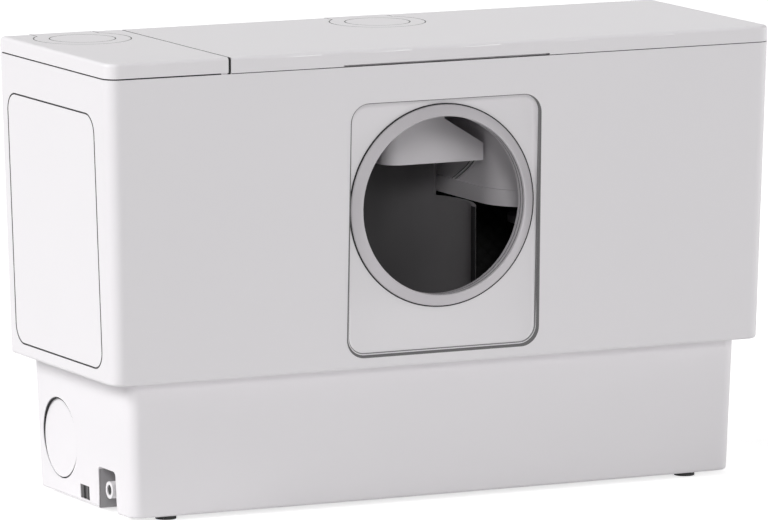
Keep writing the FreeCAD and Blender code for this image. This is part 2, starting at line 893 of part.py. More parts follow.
def make_volute():
    solid = post(motor_x, motor_y, pump_z, volute_top, volute_d)
    stub_d = pipe_bore - 0.2
    stub = rod(V(motor_x, pipe_y, pipe_z), V(-1, 0, 0), volute_d / 2 + 16, stub_d)
    stub = stub.common(box(-half_wide, half_wide, -far_y, far_y, pump_z - 2, volute_top))
    solid = solid.fuse(stub)
    cavity = post(motor_x, motor_y, pump_z + volute_wall, volute_top + 1, volute_d - 2 * volute_wall)
    bore = rod(V(motor_x, pipe_y, pipe_z), V(-1, 0, 0), volute_d, stub_bore)
    return solid.cut(cavity).cut(bore)


def make_impeller():
    z = pump_z + volute_wall + impeller_gap + 1
    plate = post(motor_x, motor_y, z, z + 3, impeller_d)
    hub = post(motor_x, motor_y, z, z + impeller_h, hub_d)
    solid = plate.fuse(hub)
    vane = box(hub_d / 2 - 1, impeller_d / 2, -vane_t / 2, vane_t / 2, z, z + impeller_h)
    vane.rotate(V(hub_d / 2, 0, 0), V(0, 0, 1), -25)
    vane = vane.common(post(0, 0, z, z + impeller_h, impeller_d))
    for count in range(vane_count):
        blade = vane.copy()
        blade.rotate(V(0, 0, 0), V(0, 0, 1), count * 360 / vane_count)
        blade.translate(V(motor_x, motor_y, 0))
        solid = solid.fuse(blade)
    return solid.cut(post(motor_x, motor_y, z - 1, z + impeller_h + 1, shaft_d))


def make_cutter():
    z = suction_top + cutter_gap
    solid = post(motor_x, motor_y, z, z + cutter_h + 4, hub_d)
    for count in range(cutter_arms):
        arm = polygon_prism([V(4, -4, z), V(cutter_d / 2, -2, z), V(cutter_d / 2, 4, z), V(4, 4, z)],
                            V(0, 0, cutter_h))
        arm.rotate(V(0, 0, 0), V(0, 0, 1), count * 360 / cutter_arms)
        arm.translate(V(motor_x, motor_y, 0))
        solid = solid.fuse(arm.common(post(motor_x, motor_y, z, z + cutter_h, cutter_d)))
    return solid.cut(post(motor_x, motor_y, z - 1, z + cutter_h + 5, shaft_d))


# Pipe from the pump's stub along the back, up through the floor to the valve
def pipe_path(diameter):
    start_x = motor_x - volute_d / 2 - 1
    corner_x = valve_x + pipe_bend
    run = rod(V(start_x, pipe_y, pipe_z), V(-1, 0, 0), start_x - corner_x, diameter)
    turn = Part.makeTorus(pipe_bend, diameter / 2, V(corner_x, pipe_y, pipe_z + pipe_bend), V(0, 1, 0))
    corner = box(valve_x - diameter, corner_x, pipe_y - diameter, pipe_y + diameter,
                 pipe_z - diameter, pipe_z + pipe_bend)
    riser = post(valve_x, pipe_y, pipe_z + pipe_bend, pipe_top, diameter)
    return run.fuse(turn.common(corner)).fuse(riser)


def make_pressure_pipe():
    return pipe_path(pipe_d).cut(pipe_path(pipe_bore))


def make_valve_body():
    low = pipe_top - valve_socket_h
    chamber_low = pipe_top
    chamber_top = chamber_low + valve_h
    solid = post(valve_x, pipe_y, low, chamber_low, pipe_d + 2 * valve_wall + 1)
    solid = solid.fuse(post(valve_x, pipe_y, chamber_low - 0.5, chamber_top, valve_d))
    solid = solid.fuse(post(valve_x, pipe_y, chamber_top - 0.5, chamber_top + spigot_h, spigot_d))
    solid = solid.cut(post(valve_x, pipe_y, low - 1, chamber_low, pipe_d + 0.2))
    solid = solid.cut(post(valve_x, pipe_y, low, chamber_low + valve_wall + 1, valve_seat_bore))
    room_top = chamber_top - valve_wall
    solid = solid.cut(post(valve_x, pipe_y, chamber_low + valve_wall, room_top, valve_d - 2 * valve_wall))
    solid = solid.cut(post(valve_x, pipe_y, room_top - 1, chamber_top + spigot_h + 1, spigot_bore))
    return solid.cut(make_flap_pin())


def flap_axis():
    return V(valve_x - flap_pin_off, pipe_y, pipe_top + valve_wall + flap_knuckle_d / 2 + 0.4)


def make_flap_pin():
    reach = math.sqrt((valve_d / 2 - valve_wall) ** 2 - flap_pin_off ** 2) + valve_wall * 0.8
    start = flap_axis() + V(0, -reach, 0)
    return rod(start, V(0, 1, 0), 2 * reach, flap_pin_d)


def make_flap():
    seat = pipe_top + valve_wall + fit_gap
    disc = post(valve_x + 1, pipe_y, seat, seat + flap_t, flap_d)
    axis = flap_axis()
    arm = box(axis.x, valve_x, pipe_y - flap_arm_w / 2, pipe_y + flap_arm_w / 2, seat, seat + flap_t)
    knuckle = rod(axis + V(0, -flap_arm_w / 2, 0), V(0, 1, 0), flap_arm_w, flap_knuckle_d)
    solid = disc.fuse(arm).fuse(knuckle)
    hole = rod(axis + V(0, -flap_arm_w, 0), V(0, 1, 0), 2 * flap_arm_w, flap_pin_d + 2 * running_gap)
    return solid.cut(hole)


# Rubber connector: a socket on the valve, a slanted neck and the socket of the riser
def connector(lower_d, upper_d):
    low = pipe_top + valve_h + spigot_h - connector_lap
    neck_low = pipe_top + valve_h + spigot_h + 2
    lower = post(valve_x, pipe_y, low, neck_low, lower_d)
    circles = []
    for x, z, diameter in ((valve_x, neck_low, lower_d), (pipe_exit_x, riser_bottom, upper_d)):
        circle = Part.Circle(V(x, exit_y, z), V(0, 0, 1), diameter / 2)
        circles.append(Part.Wire([circle.toShape()]))
    neck = Part.makeLoft(circles, True, True)
    upper = post(pipe_exit_x, exit_y, riser_bottom, riser_top, upper_d)
    return lower.fuse(neck).fuse(upper)


def make_connector():
    outer = connector(spigot_d + 2 * rubber_wall, riser_d + 2 * rubber_wall)
    neck_low = pipe_top + valve_h + spigot_h + 2
    low = pipe_top + valve_h + spigot_h - connector_lap
    lower = post(valve_x, pipe_y, low - 1, neck_low - 2, spigot_d)
    circles = []
    for x, z, diameter in ((valve_x, neck_low, spigot_bore), (pipe_exit_x, riser_bottom, spigot_bore)):
        circle = Part.Circle(V(x, exit_y, z), V(0, 0, 1), diameter / 2)
        circles.append(Part.Wire([circle.toShape()]))
    neck = Part.makeLoft(circles, True, True)
    stop = post(valve_x, pipe_y, neck_low - 3, neck_low, spigot_bore)
    upper_stop = post(pipe_exit_x, exit_y, riser_bottom, riser_bottom + 4, spigot_bore)
    upper = post(pipe_exit_x, exit_y, riser_bottom + 3, riser_top + 1, riser_d)
    return outer.cut(lower).cut(stop).cut(neck).cut(upper_stop).cut(upper)


def make_hose_clips():
    low = pipe_top + valve_h + spigot_h - connector_lap + 3
    high = riser_top - clip_w - 3
    clips = []
    for x, z, inner in ((valve_x, low, spigot_d), (pipe_exit_x, high, riser_d)):
        inner_d = inner + 2 * rubber_wall
        band = ring(x, exit_y, z, z + clip_w, inner_d + 2 * clip_t, inner_d)
        nut = box(x - 4, x + 4, exit_y - inner_d / 2 - clip_t - 5, exit_y - inner_d / 2 - 0.5,
                  z + 1, z + clip_w - 1)
        clips.append(band.fuse(nut))
    return Part.makeCompound(clips)


def make_basket():
    solid = ring(0, basket_y, basket_bottom, basket_top, basket_d, basket_d - 2 * basket_wall)
    floor_high = basket_bottom + basket_floor_t
    solid = solid.fuse(post(0, basket_y, basket_bottom, floor_high, basket_d))
    for radius, count in basket_hole_rings:
        for step in range(count):
            angle = step * 2 * math.pi / count
            x = radius * math.cos(angle)
            y = basket_y + radius * math.sin(angle)
            solid = solid.cut(post(x, y, basket_bottom - 1, floor_high + 1, basket_hole_d))
    half = basket_mouth_w / 2
    solid = solid.cut(box(-half, half, basket_y - basket_d, basket_y, basket_sill, basket_top + 1))
    angle = math.radians(basket_step_angle)
    far = basket_d
    wedge = polygon_prism([V(0, 0, 0), V(far * math.cos(angle), far * math.sin(angle), 0),
                           V(far, -far, 0), V(0, -far, 0)], V(0, 0, far))
    wedge.translate(V(0, basket_y, basket_low_top))
    solid = solid.cut(wedge)
    for step in range(basket_slots):
        slot = box(basket_d / 2 - 5, basket_d / 2 + 1, -basket_slot_w / 2, basket_slot_w / 2,
                   basket_bottom + basket_slot_rise, basket_bottom + basket_slot_rise + basket_slot_h)
        slot.rotate(V(0, 0, 0), V(0, 0, 1), (step + 0.5) * 360 / basket_slots)
        slot.translate(V(0, basket_y, 0))
        solid = solid.cut(slot)
    flange = ring(0, basket_y, floor_top, floor_top + basket_flange_t,
                  basket_d + 2 * basket_flange, basket_d - 1)
    flange = flange.common(casing_block(casing_wall + fit_gap, casing_z, casing_top))
    return solid.fuse(flange)


def hood_points(inset, top):
    left = hood_x + inset
    right = hood_x + hood_w - inset
    low = hood_bottom + inset
    knee = hood_bottom + hood_edge_h - inset * 0.4
    neck = right - hood_chamfer
    neck_z = knee + hood_chamfer * hood_slope
    y = from_wall(hood_near) - inset
    return [V(left, y, top), V(left, y, low), V(right, y, low), V(right, y, knee),
            V(neck, y, neck_z), V(neck, y, top)]


# Prism of the hood's outline, drawn in by inset, with its upright front left edge rounded
def hood_prism(inset, top):
    length = hood_far - hood_near - 2 * inset
    solid = polygon_prism(hood_points(inset, top), V(0, -length, 0))
    corner = []
    for edge in solid.Edges:
        ends = [vertex.Point for vertex in edge.Vertexes]
        if all(abs(p.x - hood_x - inset) < 0.01 and abs(p.y - from_wall(hood_far) - inset) < 0.01
               for p in ends):
            corner.append(edge)
    return solid.makeFillet(hood_r - inset, corner)


def make_hood():
    solid = hood_prism(0, deck_z).cut(hood_prism(hood_wall, deck_z + 1))
    for step in range(hood_slots):
        x = hood_x + (step + 1) * hood_slot_pitch
        solid = solid.cut(box(x, x + hood_slot_w, from_wall(hood_far - hood_slot_front),
                              from_wall(hood_near + hood_slot_back), hood_bottom - 1,
                              hood_bottom + hood_wall + 1))
    for x, y in hood_spots():
        lug = post(x, y, deck_z - hood_lug_h, deck_z, hood_lug_d)
        lug = lug.cut(post(x, y, deck_z - hood_hole_h, deck_z + 1, screw_d))
        solid = solid.fuse(lug)
    return solid


def hood_spots():
    inset = hood_wall + hood_lug_d / 2 - 1
    front_y = from_wall(hood_far - hood_r - inset)
    left = hood_x + inset
    right = hood_x + hood_w - hood_chamfer - inset
    middle_y = exit_y - filter_d / 2 - hood_lug_d
    return [(left, from_wall(hood_near + inset)), (left, front_y), (right, middle_y), (right, front_y)]


def make_hood_screws():
    return Part.makeCompound([screw(x, y, deck_top, hood_screw_len) for x, y in hood_spots()])


def make_filter():
    top = deck_top + vent_rise
    solid = post(vent_exit_x, exit_y, deck_z - filter_h, top + 0.5, filter_d - 0.2)
    flange = post(vent_exit_x, exit_y, top, top + 1.2, filter_d + 2 * vent_wall)
    solid = solid.fuse(flange)
    for step in range(filter_slots):
        x = vent_exit_x + (step - (filter_slots - 1) / 2) * filter_slot_pitch
        solid = solid.cut(box(x - filter_slot_w / 2, x + filter_slot_w / 2, exit_y - filter_slot_len / 2,
                              exit_y + filter_slot_len / 2, top - 3, top + 2))
    return solid


def make_bell():
    top = box_bottom
    solid = ring(bell_x, motor_y, bell_bottom, top, bell_d, bell_d - 2 * bell_wall)
    solid = solid.fuse(post(bell_x, motor_y, top - 3, top, bell_d))
    stem = post(bell_x, motor_y, top - 1, box_floor, plunger_d)
    solid = solid.fuse(stem)
    return solid.cut(post(bell_x, motor_y, top - 4, box_floor + 1, plunger_d - 4))


def make_switch():
    top = box_floor + switch_h
    solid = post(bell_x, motor_y, box_floor, top, switch_d)
    solid = solid.cut(post(bell_x, motor_y, box_floor + 2, box_floor + 5, switch_d - 6))
    solid = solid.cut(post(bell_x, motor_y, box_floor - 1, box_floor + 3, plunger_d - 4))
    return solid.cut(post(bell_x, motor_y, box_floor + 4, top + 1, plunger_d + 2 * running_gap))


def make_plunger():
    low = box_floor + switch_h - plunger_len + plunger_rise
    return post(bell_x, motor_y, low, low + plunger_len, plunger_d)


def make_board():
    y = from_wall(box_near + box_wall + board_gap + board_t)
    solid = box(board_x - board_w / 2, board_x + board_w / 2, y, y + board_t, board_z, board_z + board_h)
    relay = box(board_x + relay_in, board_x + relay_in + relay_w, y - relay_deep, y + 0.1,
                board_z + relay_rise, board_z + relay_rise + relay_h)
    socket = box(board_x + socket_in, board_x + socket_in + socket_w, y - socket_deep, y + 0.1,
                 board_z + socket_rise, board_z + socket_rise + socket_h)
    return solid.fuse(relay).fuse(socket)


def make_capacitor():
    y = from_wall(capacitor_back)
    can = post(capacitor_x, y, box_floor, box_floor + capacitor_h, capacitor_d)
    can = can.makeFillet(2.0, level_edges(can, box_floor + capacitor_h))
    tags = []
    for side in (-1, 1):
        x = capacitor_x + side * tag_out
        tags.append(box(x - tag_w / 2, x + tag_w / 2, y - tag_deep / 2, y + tag_deep / 2,
                        box_floor + capacitor_h - 0.5, box_floor + capacitor_h + tag_h))
    return can.fuse(tags[0]).fuse(tags[1])


def make_gland():
    cover_top = deck_top + deck_t + box_lid_t
    y = from_wall(box_near + gland_in)
    solid = post(gland_x, y, cover_top - gland_nut_h, cover_top + 0.5, gland_d - 4)
    nut = Part.Face(Part.makePolygon([V(gland_x + gland_d / 2 * math.cos(math.radians(60 * k)),
                                        y + gland_d / 2 * math.sin(math.radians(60 * k)), cover_top)
                                      for k in range(7)]))
    solid = solid.fuse(nut.extrude(V(0, 0, gland_nut_h)))
    return solid.cut(post(gland_x, y, cover_top - gland_nut_h - 1, cover_top + gland_nut_h + 1, gland_bore))


# Grey rubber seal of the inlet: a ring that rises towards the hole, a sleeve through
# the wall, a bead behind it and two fine grooves inside
def make_inlet_seal():
    bore_r = inlet_d / 2
    sleeve_r = bore_r + sleeve_wall
    edge_y = pocket_y - ring_edge_proud
    back = pocket_y + casing_wall
    profile = [(bore_r, ring_y + ring_round), (bore_r + ring_round, ring_y),
               (inlet_ring_d / 2 - ring_round, edge_y), (inlet_ring_d / 2, edge_y + ring_round),
               (inlet_ring_d / 2, pocket_y), (sleeve_r, pocket_y), (sleeve_r, back),
               (sleeve_r + bead_out, back), (sleeve_r + bead_out, back + bead_h),
               (bore_r, back + bead_h)]
    points = [V(recess_x + r, y, inlet_z) for r, y in profile]
    face = Part.Face(Part.makePolygon(points + [points[0]]))
    solid = face.revolve(V(recess_x, 0, inlet_z), V(0, 1, 0), 360)
    for start in lip_starts:
        groove = rod(V(recess_x, ring_y + start, inlet_z), V(0, 1, 0), lip_w, inlet_d + 2 * lip_deep)
        solid = solid.cut(groove)
    rest = recess_prism(casing_wall, ring_y - casing_wall, pocket_y).cut(pocket_room())
    return solid.cut(rest)


# Keyhole of a lid at a height: round end, neck to the back edge and blended joint
def keyhole(x, inset, z_low, z_high):
    radius = keyhole_d / 2 - inset
    half = neck_w / 2 - inset
    solid = post(x, exit_y, z_low, z_high, 2 * radius)
    solid = solid.fuse(box(x - half, x + half, exit_y, back_y, z_low, z_high))
    join_y = exit_y + math.sqrt(radius ** 2 - half ** 2)
    corner = []
    for edge in solid.Edges:
        ends = [vertex.Point for vertex in edge.Vertexes]
        if all(abs(p.y - join_y) < 0.01 and abs(abs(p.x - x) - half) < 0.01 for p in ends):
            corner.append(edge)
    return solid.makeFillet(4.0, corner)


def neck_slot(x, inset, z_low):
    half = neck_w / 2 - inset
    return box(x - half, x + half, back_y - lid_wall - inset, back_y, z_low, top_z)


def make_lid(x_low, x_high, exit_x, gap_h):
    solid = lid_block(0, casing_top, top_z)
    solid = solid.makeFillet(edge_r, level_edges(solid, top_z))
    solid = solid.common(box(x_low, x_high, -far_y, far_y, casing_top - 1, top_z + 1))
    cavity = lid_block(lid_wall, casing_top - 1, top_z - lid_skin)
    inner_low = x_low + lid_wall if x_low > -half_wide / 2 else -half_wide
    inner_high = x_high - lid_wall if x_high < half_wide / 2 else half_wide
    solid = solid.cut(cavity.common(box(inner_low, inner_high, -far_y, far_y, casing_top - 2, top_z)))
    lip_in = casing_wall + lid_lip_gap
    lip = casing_block(lip_in, casing_top - lid_lip_drop, top_z - lid_skin + 0.1)
    lip = lip.cut(casing_block(lip_in + lid_lip_t, casing_top - lid_lip_drop - 1, top_z))
    lip_low = divider_right + lid_lip_gap if x_low > -half_wide / 2 else -half_wide
    lip_high = divider_left - lid_lip_gap if x_high < 0 else half_wide
    lip = lip.common(box(lip_low, lip_high, -far_y, far_y, casing_top - 5, top_z))
    solid = solid.fuse(lip)
    solid = solid.cut(keyhole(exit_x, 0, top_z - ledge_drop, top_z + 1))
    solid = solid.cut(keyhole(exit_x, ledge_w, casing_top - 5, top_z))
    # Shadow gap between the lid's skirt and the casing, on the three open sides
    rebate = lid_block(-1, casing_top - 1, casing_top + gap_h)
    keep = lid_block(lid_gap_deep, casing_top - 2, casing_top + gap_h + 1)
    keep = keep.fuse(box(-half_wide, half_wide, back_y - lid_wall, half_wide, casing_top - 2, top_z))
    solid = solid.cut(rebate.cut(keep))
    return solid.cut(neck_slot(exit_x, 0, casing_top - 5))


# The main lid has a shallow finger gap under the middle of its front edge
def make_main_lid():
    solid = make_lid(divider_x + lid_seam / 2, half_wide, vent_exit_x, main_lid_gap)
    grip = box(grip_x - grip_w / 2, grip_x + grip_w / 2, -far_y, from_wall(lid_depth) + lid_wall,
               casing_top - 1, casing_top + grip_h)
    return solid.cut(grip)


def make_insert(exit_x):
    solid = keyhole(exit_x, fit_gap, top_z - ledge_drop, top_z)
    solid = solid.fuse(keyhole(exit_x, ledge_w + fit_gap, top_z - lid_skin, top_z - ledge_drop + 0.1))
    tab = neck_slot(exit_x, fit_gap, casing_top + fit_gap)
    solid = solid.fuse(tab.common(box(-half_wide, half_wide, back_y - lid_wall, back_y, 0, top_z)))
    solid = solid.cut(post(exit_x, exit_y, top_z - disc_t, top_z + 1, disc_d))
    return solid.cut(post(exit_x, exit_y, top_z - lid_skin - 1, top_z, disc_d - 2 * disc_web))


def make_disc(exit_x):
    return post(exit_x, exit_y, top_z - disc_t, top_z, disc_d - 2 * fit_gap)


def make_side_panel():
    skin = casing_block(0, casing_z, casing_top).cut(casing_block(lid_wall, casing_z - 1, casing_top + 1))
    return skin.common(panel_prism(panel_gap, -half_wide, divider_left))


def plug_seat(side):
    return plug_spot(side) + V(-side * (plug_t + plug_back_gap), 0, 0)


def make_plug(side):
    start = plug_seat(side) + V(side * seal_h, 0, 0)
    length = plug_t + plug_back_gap - seal_h - plug_sunk
    return rod(start, V(side, 0, 0), length, plug_d - 2 * plug_gap)


def make_plug_seals():
    seals = []
    for side in (-1, 1):
        start = plug_seat(side)
        way = V(side, 0, 0)
        outer = rod(start, way, seal_h, plug_d)
        seals.append(outer.cut(rod(start - way, way, seal_h + 2, plug_d - 2 * ledge_w)))
    return Part.makeCompound(seals)


# Drain nipple: hose end in the niche, collar on its wall, thinner tail through it
def make_nipple():
    y = from_wall(niche_back + niche_w / 2)
    low = sump_sides(nipple_z)[0] + nipple_tip_in
    high = niche_x + niche_wall + nipple_tail
    way = V(1, 0, 0)
    solid = rod(V(low, y, nipple_z), way, niche_x - low, nipple_d)
    solid = solid.fuse(rod(V(niche_x - collar_h, y, nipple_z), way, collar_h, collar_d))
    solid = solid.fuse(rod(V(low, y, nipple_z), way, high - low, nipple_tail_d))
    return solid.cut(rod(V(low - 1, y, nipple_z), way, high - low + 2, nipple_bore))


# The nodes, from the floor up
save("sump_tub", make_sump())
save("sump_seal", make_sump_seal())
save("rubber_feet", make_feet())
save("drain_nipple", make_nipple())
save("left_inlet_plug", make_plug(-1))
save("right_inlet_plug", make_plug(1))
save("inlet_plug_seals", make_plug_seals())
save("upper_casing", make_casing())
save("casing_screws", make_casing_screws())
save("inlet_seal", make_inlet_seal())
save("collecting_basket", make_basket())
save("side_panel", make_side_panel())
save("chamber_deck", make_deck())
save("deck_seal", make_deck_seal())
save("deck_screws", make_deck_screws())
save("vent_hood", make_hood())
save("hood_screws", make_hood_screws())
save("carbon_filter", make_filter())
save("motor_box", make_motor_box())
save("motor_box_cover", make_box_cover())
save("cover_screws", make_cover_screws())
save("cable_gland", make_gland())
save("motor_stator", make_stator())
save("stator_windings", make_windings())
save("motor_end_shield", make_end_shield())
save("upper_bearing", make_bearing(shaft_top - bearing_h - 1))
save("lower_bearing", make_bearing(box_floor - bearing_h))
save("shaft_seal", make_shaft_seal())
save("motor_shaft", make_shaft())
save("motor_rotor", make_rotor())
save("pump_column", make_column())
save("suction_plate", make_suction_plate())
save("pump_volute", make_volute())
save("impeller", make_impeller())
save("cutter", make_cutter())
save("pressure_pipe", make_pressure_pipe())
save("valve_body", make_valve_body())
save("valve_flap", make_flap())
save("flap_pin", make_flap_pin())
save("outlet_connector", make_connector())
save("hose_clips", make_hose_clips())
save("level_bell", make_bell())
save("level_switch", make_switch())
save("switch_plunger", make_plunger())
save("control_board", make_board())
save("motor_capacitor", make_capacitor())
save("main_lid", make_main_lid())
save("service_lid", make_lid(-half_wide, divider_x - lid_seam / 2, pipe_exit_x,
                                 service_lid_gap))
save("main_lid_insert", make_insert(vent_exit_x))
save("service_lid_insert", make_insert(pipe_exit_x))
save("main_lid_disc", make_disc(vent_exit_x))
save("service_lid_disc", make_disc(pipe_exit_x))
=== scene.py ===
import json
import math

import bpy
import numpy as np
from mathutils import Matrix, Vector


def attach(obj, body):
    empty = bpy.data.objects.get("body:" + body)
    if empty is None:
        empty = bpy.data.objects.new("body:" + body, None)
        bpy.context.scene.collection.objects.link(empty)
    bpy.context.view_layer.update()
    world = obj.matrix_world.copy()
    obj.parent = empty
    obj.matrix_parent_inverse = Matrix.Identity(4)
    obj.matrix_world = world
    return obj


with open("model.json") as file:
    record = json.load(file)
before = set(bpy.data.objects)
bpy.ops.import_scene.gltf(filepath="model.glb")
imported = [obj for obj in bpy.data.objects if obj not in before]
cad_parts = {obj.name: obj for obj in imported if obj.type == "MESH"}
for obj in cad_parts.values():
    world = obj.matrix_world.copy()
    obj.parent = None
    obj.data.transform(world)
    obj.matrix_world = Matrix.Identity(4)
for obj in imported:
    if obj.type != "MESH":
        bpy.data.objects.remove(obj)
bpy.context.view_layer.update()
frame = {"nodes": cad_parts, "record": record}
nodes = frame["nodes"]
scene = bpy.context.scene
print("stage: frame loaded,", len(nodes), "nodes")

mm = 0.001    # shapes are in millimetres up to addPiece, finishes and the camera in metres

# Outside of the housing: its sides and front line change evenly from the foot to the top
# of each moulding, and its front bows forward
housing = dict(
    casing=dict(low=81.7, high=255.5, left=(-203.9, -210.0), right=(207.7, 210.0),
                front=(-66.1, -73.3)),
    sump=dict(low=2.6, high=81.7, left=(-185.4, -189.2), right=(197.9, 199.2),
              front=(-48.7, -53.3)),
    bow=1.6, back=74.9, cornerRound=8.0)

# Places on it that several pieces follow: the seam between the lids, the keyhole inserts
# with their discs, the inlet's middle, and the outline of the inlet's pocket
seamX = -135.2
keyholes = dict(serviceX=-172.6, mainX=14.1, y=43.7, discRadius=18.85)
inlet = dict(x=0.6, z=172.6)
pocket = dict(low=(-59.2, 89.6), high=(60.4, 233.9), radius=10.5)


# Shader maths: a Value wraps one output socket, and arithmetic on it adds Math nodes
class Value:
    def __init__(self, tree, socket):
        self.tree = tree
        self.socket = socket

    def combine(self, operation, *sources):
        node = self.tree.nodes.new("ShaderNodeMath")
        node.operation = operation
        for target, source in zip(node.inputs, sources):
            connect(self.tree, target, source)
        return Value(self.tree, node.outputs[0])

    def __add__(self, other):
        return self.combine("ADD", self, other)

    def __radd__(self, other):
        return self.combine("ADD", other, self)

    def __sub__(self, other):
        return self.combine("SUBTRACT", self, other)

    def __rsub__(self, other):
        return self.combine("SUBTRACT", other, self)

    def __mul__(self, other):
        return self.combine("MULTIPLY", self, other)

    def __rmul__(self, other):
        return self.combine("MULTIPLY", other, self)

    def least(self, other):
        return self.combine("MINIMUM", self, other)

    def most(self, other):
        return self.combine("MAXIMUM", self, other)

    def above(self, other):
        return self.combine("GREATER_THAN", self, other)

    def size(self):
        return self.combine("ABSOLUTE", self)

    def root(self):
        return self.combine("SQRT", self)


def connect(tree, target, source):
    if isinstance(source, Value):
        tree.links.new(source.socket, target)
    else:
        target.default_value = source


# A base value that goes up and down by half a reach with a pattern between 0 and 1
def swing(base, reach, pattern):
    return base + reach * (pattern - 0.5)


# A node tree under way: add() makes any node, with its settings first and then its sockets,
# and gives the wanted output, or a list where several are wanted
class Graph:
    def __init__(self, owner):
        owner.use_nodes = True
        self.tree = owner.node_tree
        self.tree.nodes.clear()

    def add(self, kind, settings=None, sockets=None, want=0):
        node = self.tree.nodes.new(kind)
        for key, value in (settings or {}).items():
            setattr(node, key, value)
        for key, value in (sockets or {}).items():
            connect(self.tree, node.inputs[key], value)
        if isinstance(want, tuple):
            return [Value(self.tree, node.outputs[each]) for each in want]
        return Value(self.tree, node.outputs[want])

    # 1 for what is seen directly, in a gloss or through glass, and 0 for light on surfaces
    def direct(self):
        kinds = ("Is Camera Ray", "Is Glossy Ray", "Is Transmission Ray")
        seen, glossy, through = self.add("ShaderNodeLightPath", want=kinds)
        return seen.most(glossy.most(through))

    def end(self, kind, shader):
        output = self.tree.nodes.new(kind)
        connect(self.tree, output.inputs["Surface"], shader)


# A material under way, with its patterns on Object coordinates
class Finish(Graph):
    def __init__(self, name):
        self.material = bpy.data.materials.new(name)
        super().__init__(self.material)
        self.place = self.add("ShaderNodeTexCoord", want="Object")

    def noise(self, scale, detail=2.0, stretch=(1, 1, 1)):
        place = self.add("ShaderNodeMapping", None, {"Vector": self.place, "Scale": stretch})
        sockets = {"Vector": place, "Scale": scale, "Detail": detail}
        return self.add("ShaderNodeTexNoise", None, sockets)

    def axes(self):
        sockets = {"Vector": self.place}
        return self.add("ShaderNodeSeparateXYZ", None, sockets, want=("X", "Y", "Z"))

    # One band per step along z: the wave's scale is 0.31 over the step
    def bands(self, step, waver):
        sockets = {"Vector": self.place, "Scale": 0.31 / step, "Distortion": waver}
        return self.add("ShaderNodeTexWave", {"bands_direction": "Z"}, sockets, want=1)

    def blend(self, factor, first, second):
        first, second = [colour if isinstance(colour, Value) else (*colour, 1)
                         for colour in (first, second)]
        sockets = {0: factor, 6: first, 7: second}
        return self.add("ShaderNodeMix", {"data_type": "RGBA"}, sockets, want=2)

    def bump(self, height, depth, strength):
        sockets = {"Height": height, "Distance": depth, "Strength": strength}
        return self.add("ShaderNodeBump", None, sockets)

    def close(self, sockets):
        shader = self.add("ShaderNodeBsdfPrincipled", None, sockets)
        self.end("ShaderNodeOutputMaterial", shader)
        return self.material


# Moulded white plastic, for the housing and the lids: faint large cloudiness
whitePlastic = dict(colour=(0.85, 0.828, 0.85), shade=(0.83, 0.81, 0.832), cloudScale=9.0,
                    roughness=0.40, cloudReach=0.06, ior=1.46)


# Housing plastic: the white one with a fine spark-eroded grain
def makeHousingPlastic():
    look = dict(whitePlastic, grainScale=900.0, grainReach=0.10, grainDepth=0.00002, relief=0.35)
    finish = Finish("housingPlastic")
    cloud = finish.noise(look["cloudScale"])
    grain = finish.noise(look["grainScale"], detail=1.0)
    rough = swing(look["roughness"], look["grainReach"], grain)
    return finish.close({
        "Base Color": finish.blend(cloud, look["shade"], look["colour"]),
        "Roughness": swing(rough, look["cloudReach"], cloud),
        "Normal": finish.bump(grain, look["grainDepth"], look["relief"]),
        "IOR": look["ior"],
    })


# Lid plastic: the white one with a painted shadow of the keyhole and disc grooves. The line
# is dark where the distance to the disc's circle, or to the keyhole's outline (the lesser
# of distance past the round end and distance past the neck), is near zero
def makeLidPlastic(name, exitX):
    look = dict(whitePlastic, line=(0.03, 0.029, 0.03), endRadius=0.02785, neck=0.01935,
                half=0.0003, soft=0.0001, lowest=0.2646)
    finish = Finish(name)
    cloud = finish.noise(look["cloudScale"])
    x, y, z = finish.axes()
    x = (x - exitX * mm).size()
    y = y - keyholes["y"] * mm
    reach = (x * x + y * y).root()
    neck = (x - look["neck"]).most(0 - y)
    outline = (reach - look["endRadius"]).least(neck).size()
    disc = (reach - keyholes["discRadius"] * mm).size()
    # Painted shadow: a dark band about 0.3 mm wide each side of the grooves, only above the lid's
    # lowest height
    line = finish.add("ShaderNodeMapRange", None, {
        "Value": disc.least(outline), "From Min": look["half"],
        "From Max": look["half"] + look["soft"], "To Min": 1.0, "To Max": 0.0})
    plastic = finish.blend(cloud, look["shade"], look["colour"])
    return finish.close({
        "Base Color": finish.blend(line * z.above(look["lowest"]), plastic, look["line"]),
        "Roughness": swing(look["roughness"], look["cloudReach"], cloud),
        "IOR": look["ior"],
    })


# Unpainted inner mouldings: a little greyer and duller, with faint flow streaks
def makeInnerPlastic():
    look = dict(colour=(0.84, 0.81, 0.84), shade=(0.78, 0.755, 0.78), streakScale=14.0,
                roughness=0.62, streakReach=0.12, grainScale=700.0, grainDepth=0.00003,
                relief=0.4, ior=1.46)
    finish = Finish("innerPlastic")
    streak = finish.noise(look["streakScale"], detail=3.0, stretch=(1, 1, 4))
    grain = finish.noise(look["grainScale"], detail=1.0)
    return finish.close({
        "Base Color": finish.blend(streak, look["shade"], look["colour"]),
        "Roughness": swing(look["roughness"], look["streakReach"], streak),
        "Normal": finish.bump(grain, look["grainDepth"], look["relief"]),
        "IOR": look["ior"],
    })


# Vertical draw marks of the dark mouldings
drawMarks = dict(scale=60.0, stretch=(1, 1, 0.08), reach=0.16, depth=0.00004, relief=0.4)


# Dark mouldings and the felt of the filter: draw marks and a fine grain
def makeDarkPlastic(name, colour, shade, roughness):
    look = dict(drawMarks, grainScale=650.0, grainShare=0.5)
    finish = Finish(name)
    draw = finish.noise(look["scale"], detail=3.0, stretch=look["stretch"])
    grain = finish.noise(look["grainScale"], detail=1.0)
    height = draw + look["grainShare"] * grain
    return finish.close({
        "Base Color": finish.blend(draw, shade, colour),
        "Roughness": swing(roughness, look["reach"], draw),
        "Normal": finish.bump(height, look["depth"], look["relief"]),
    })
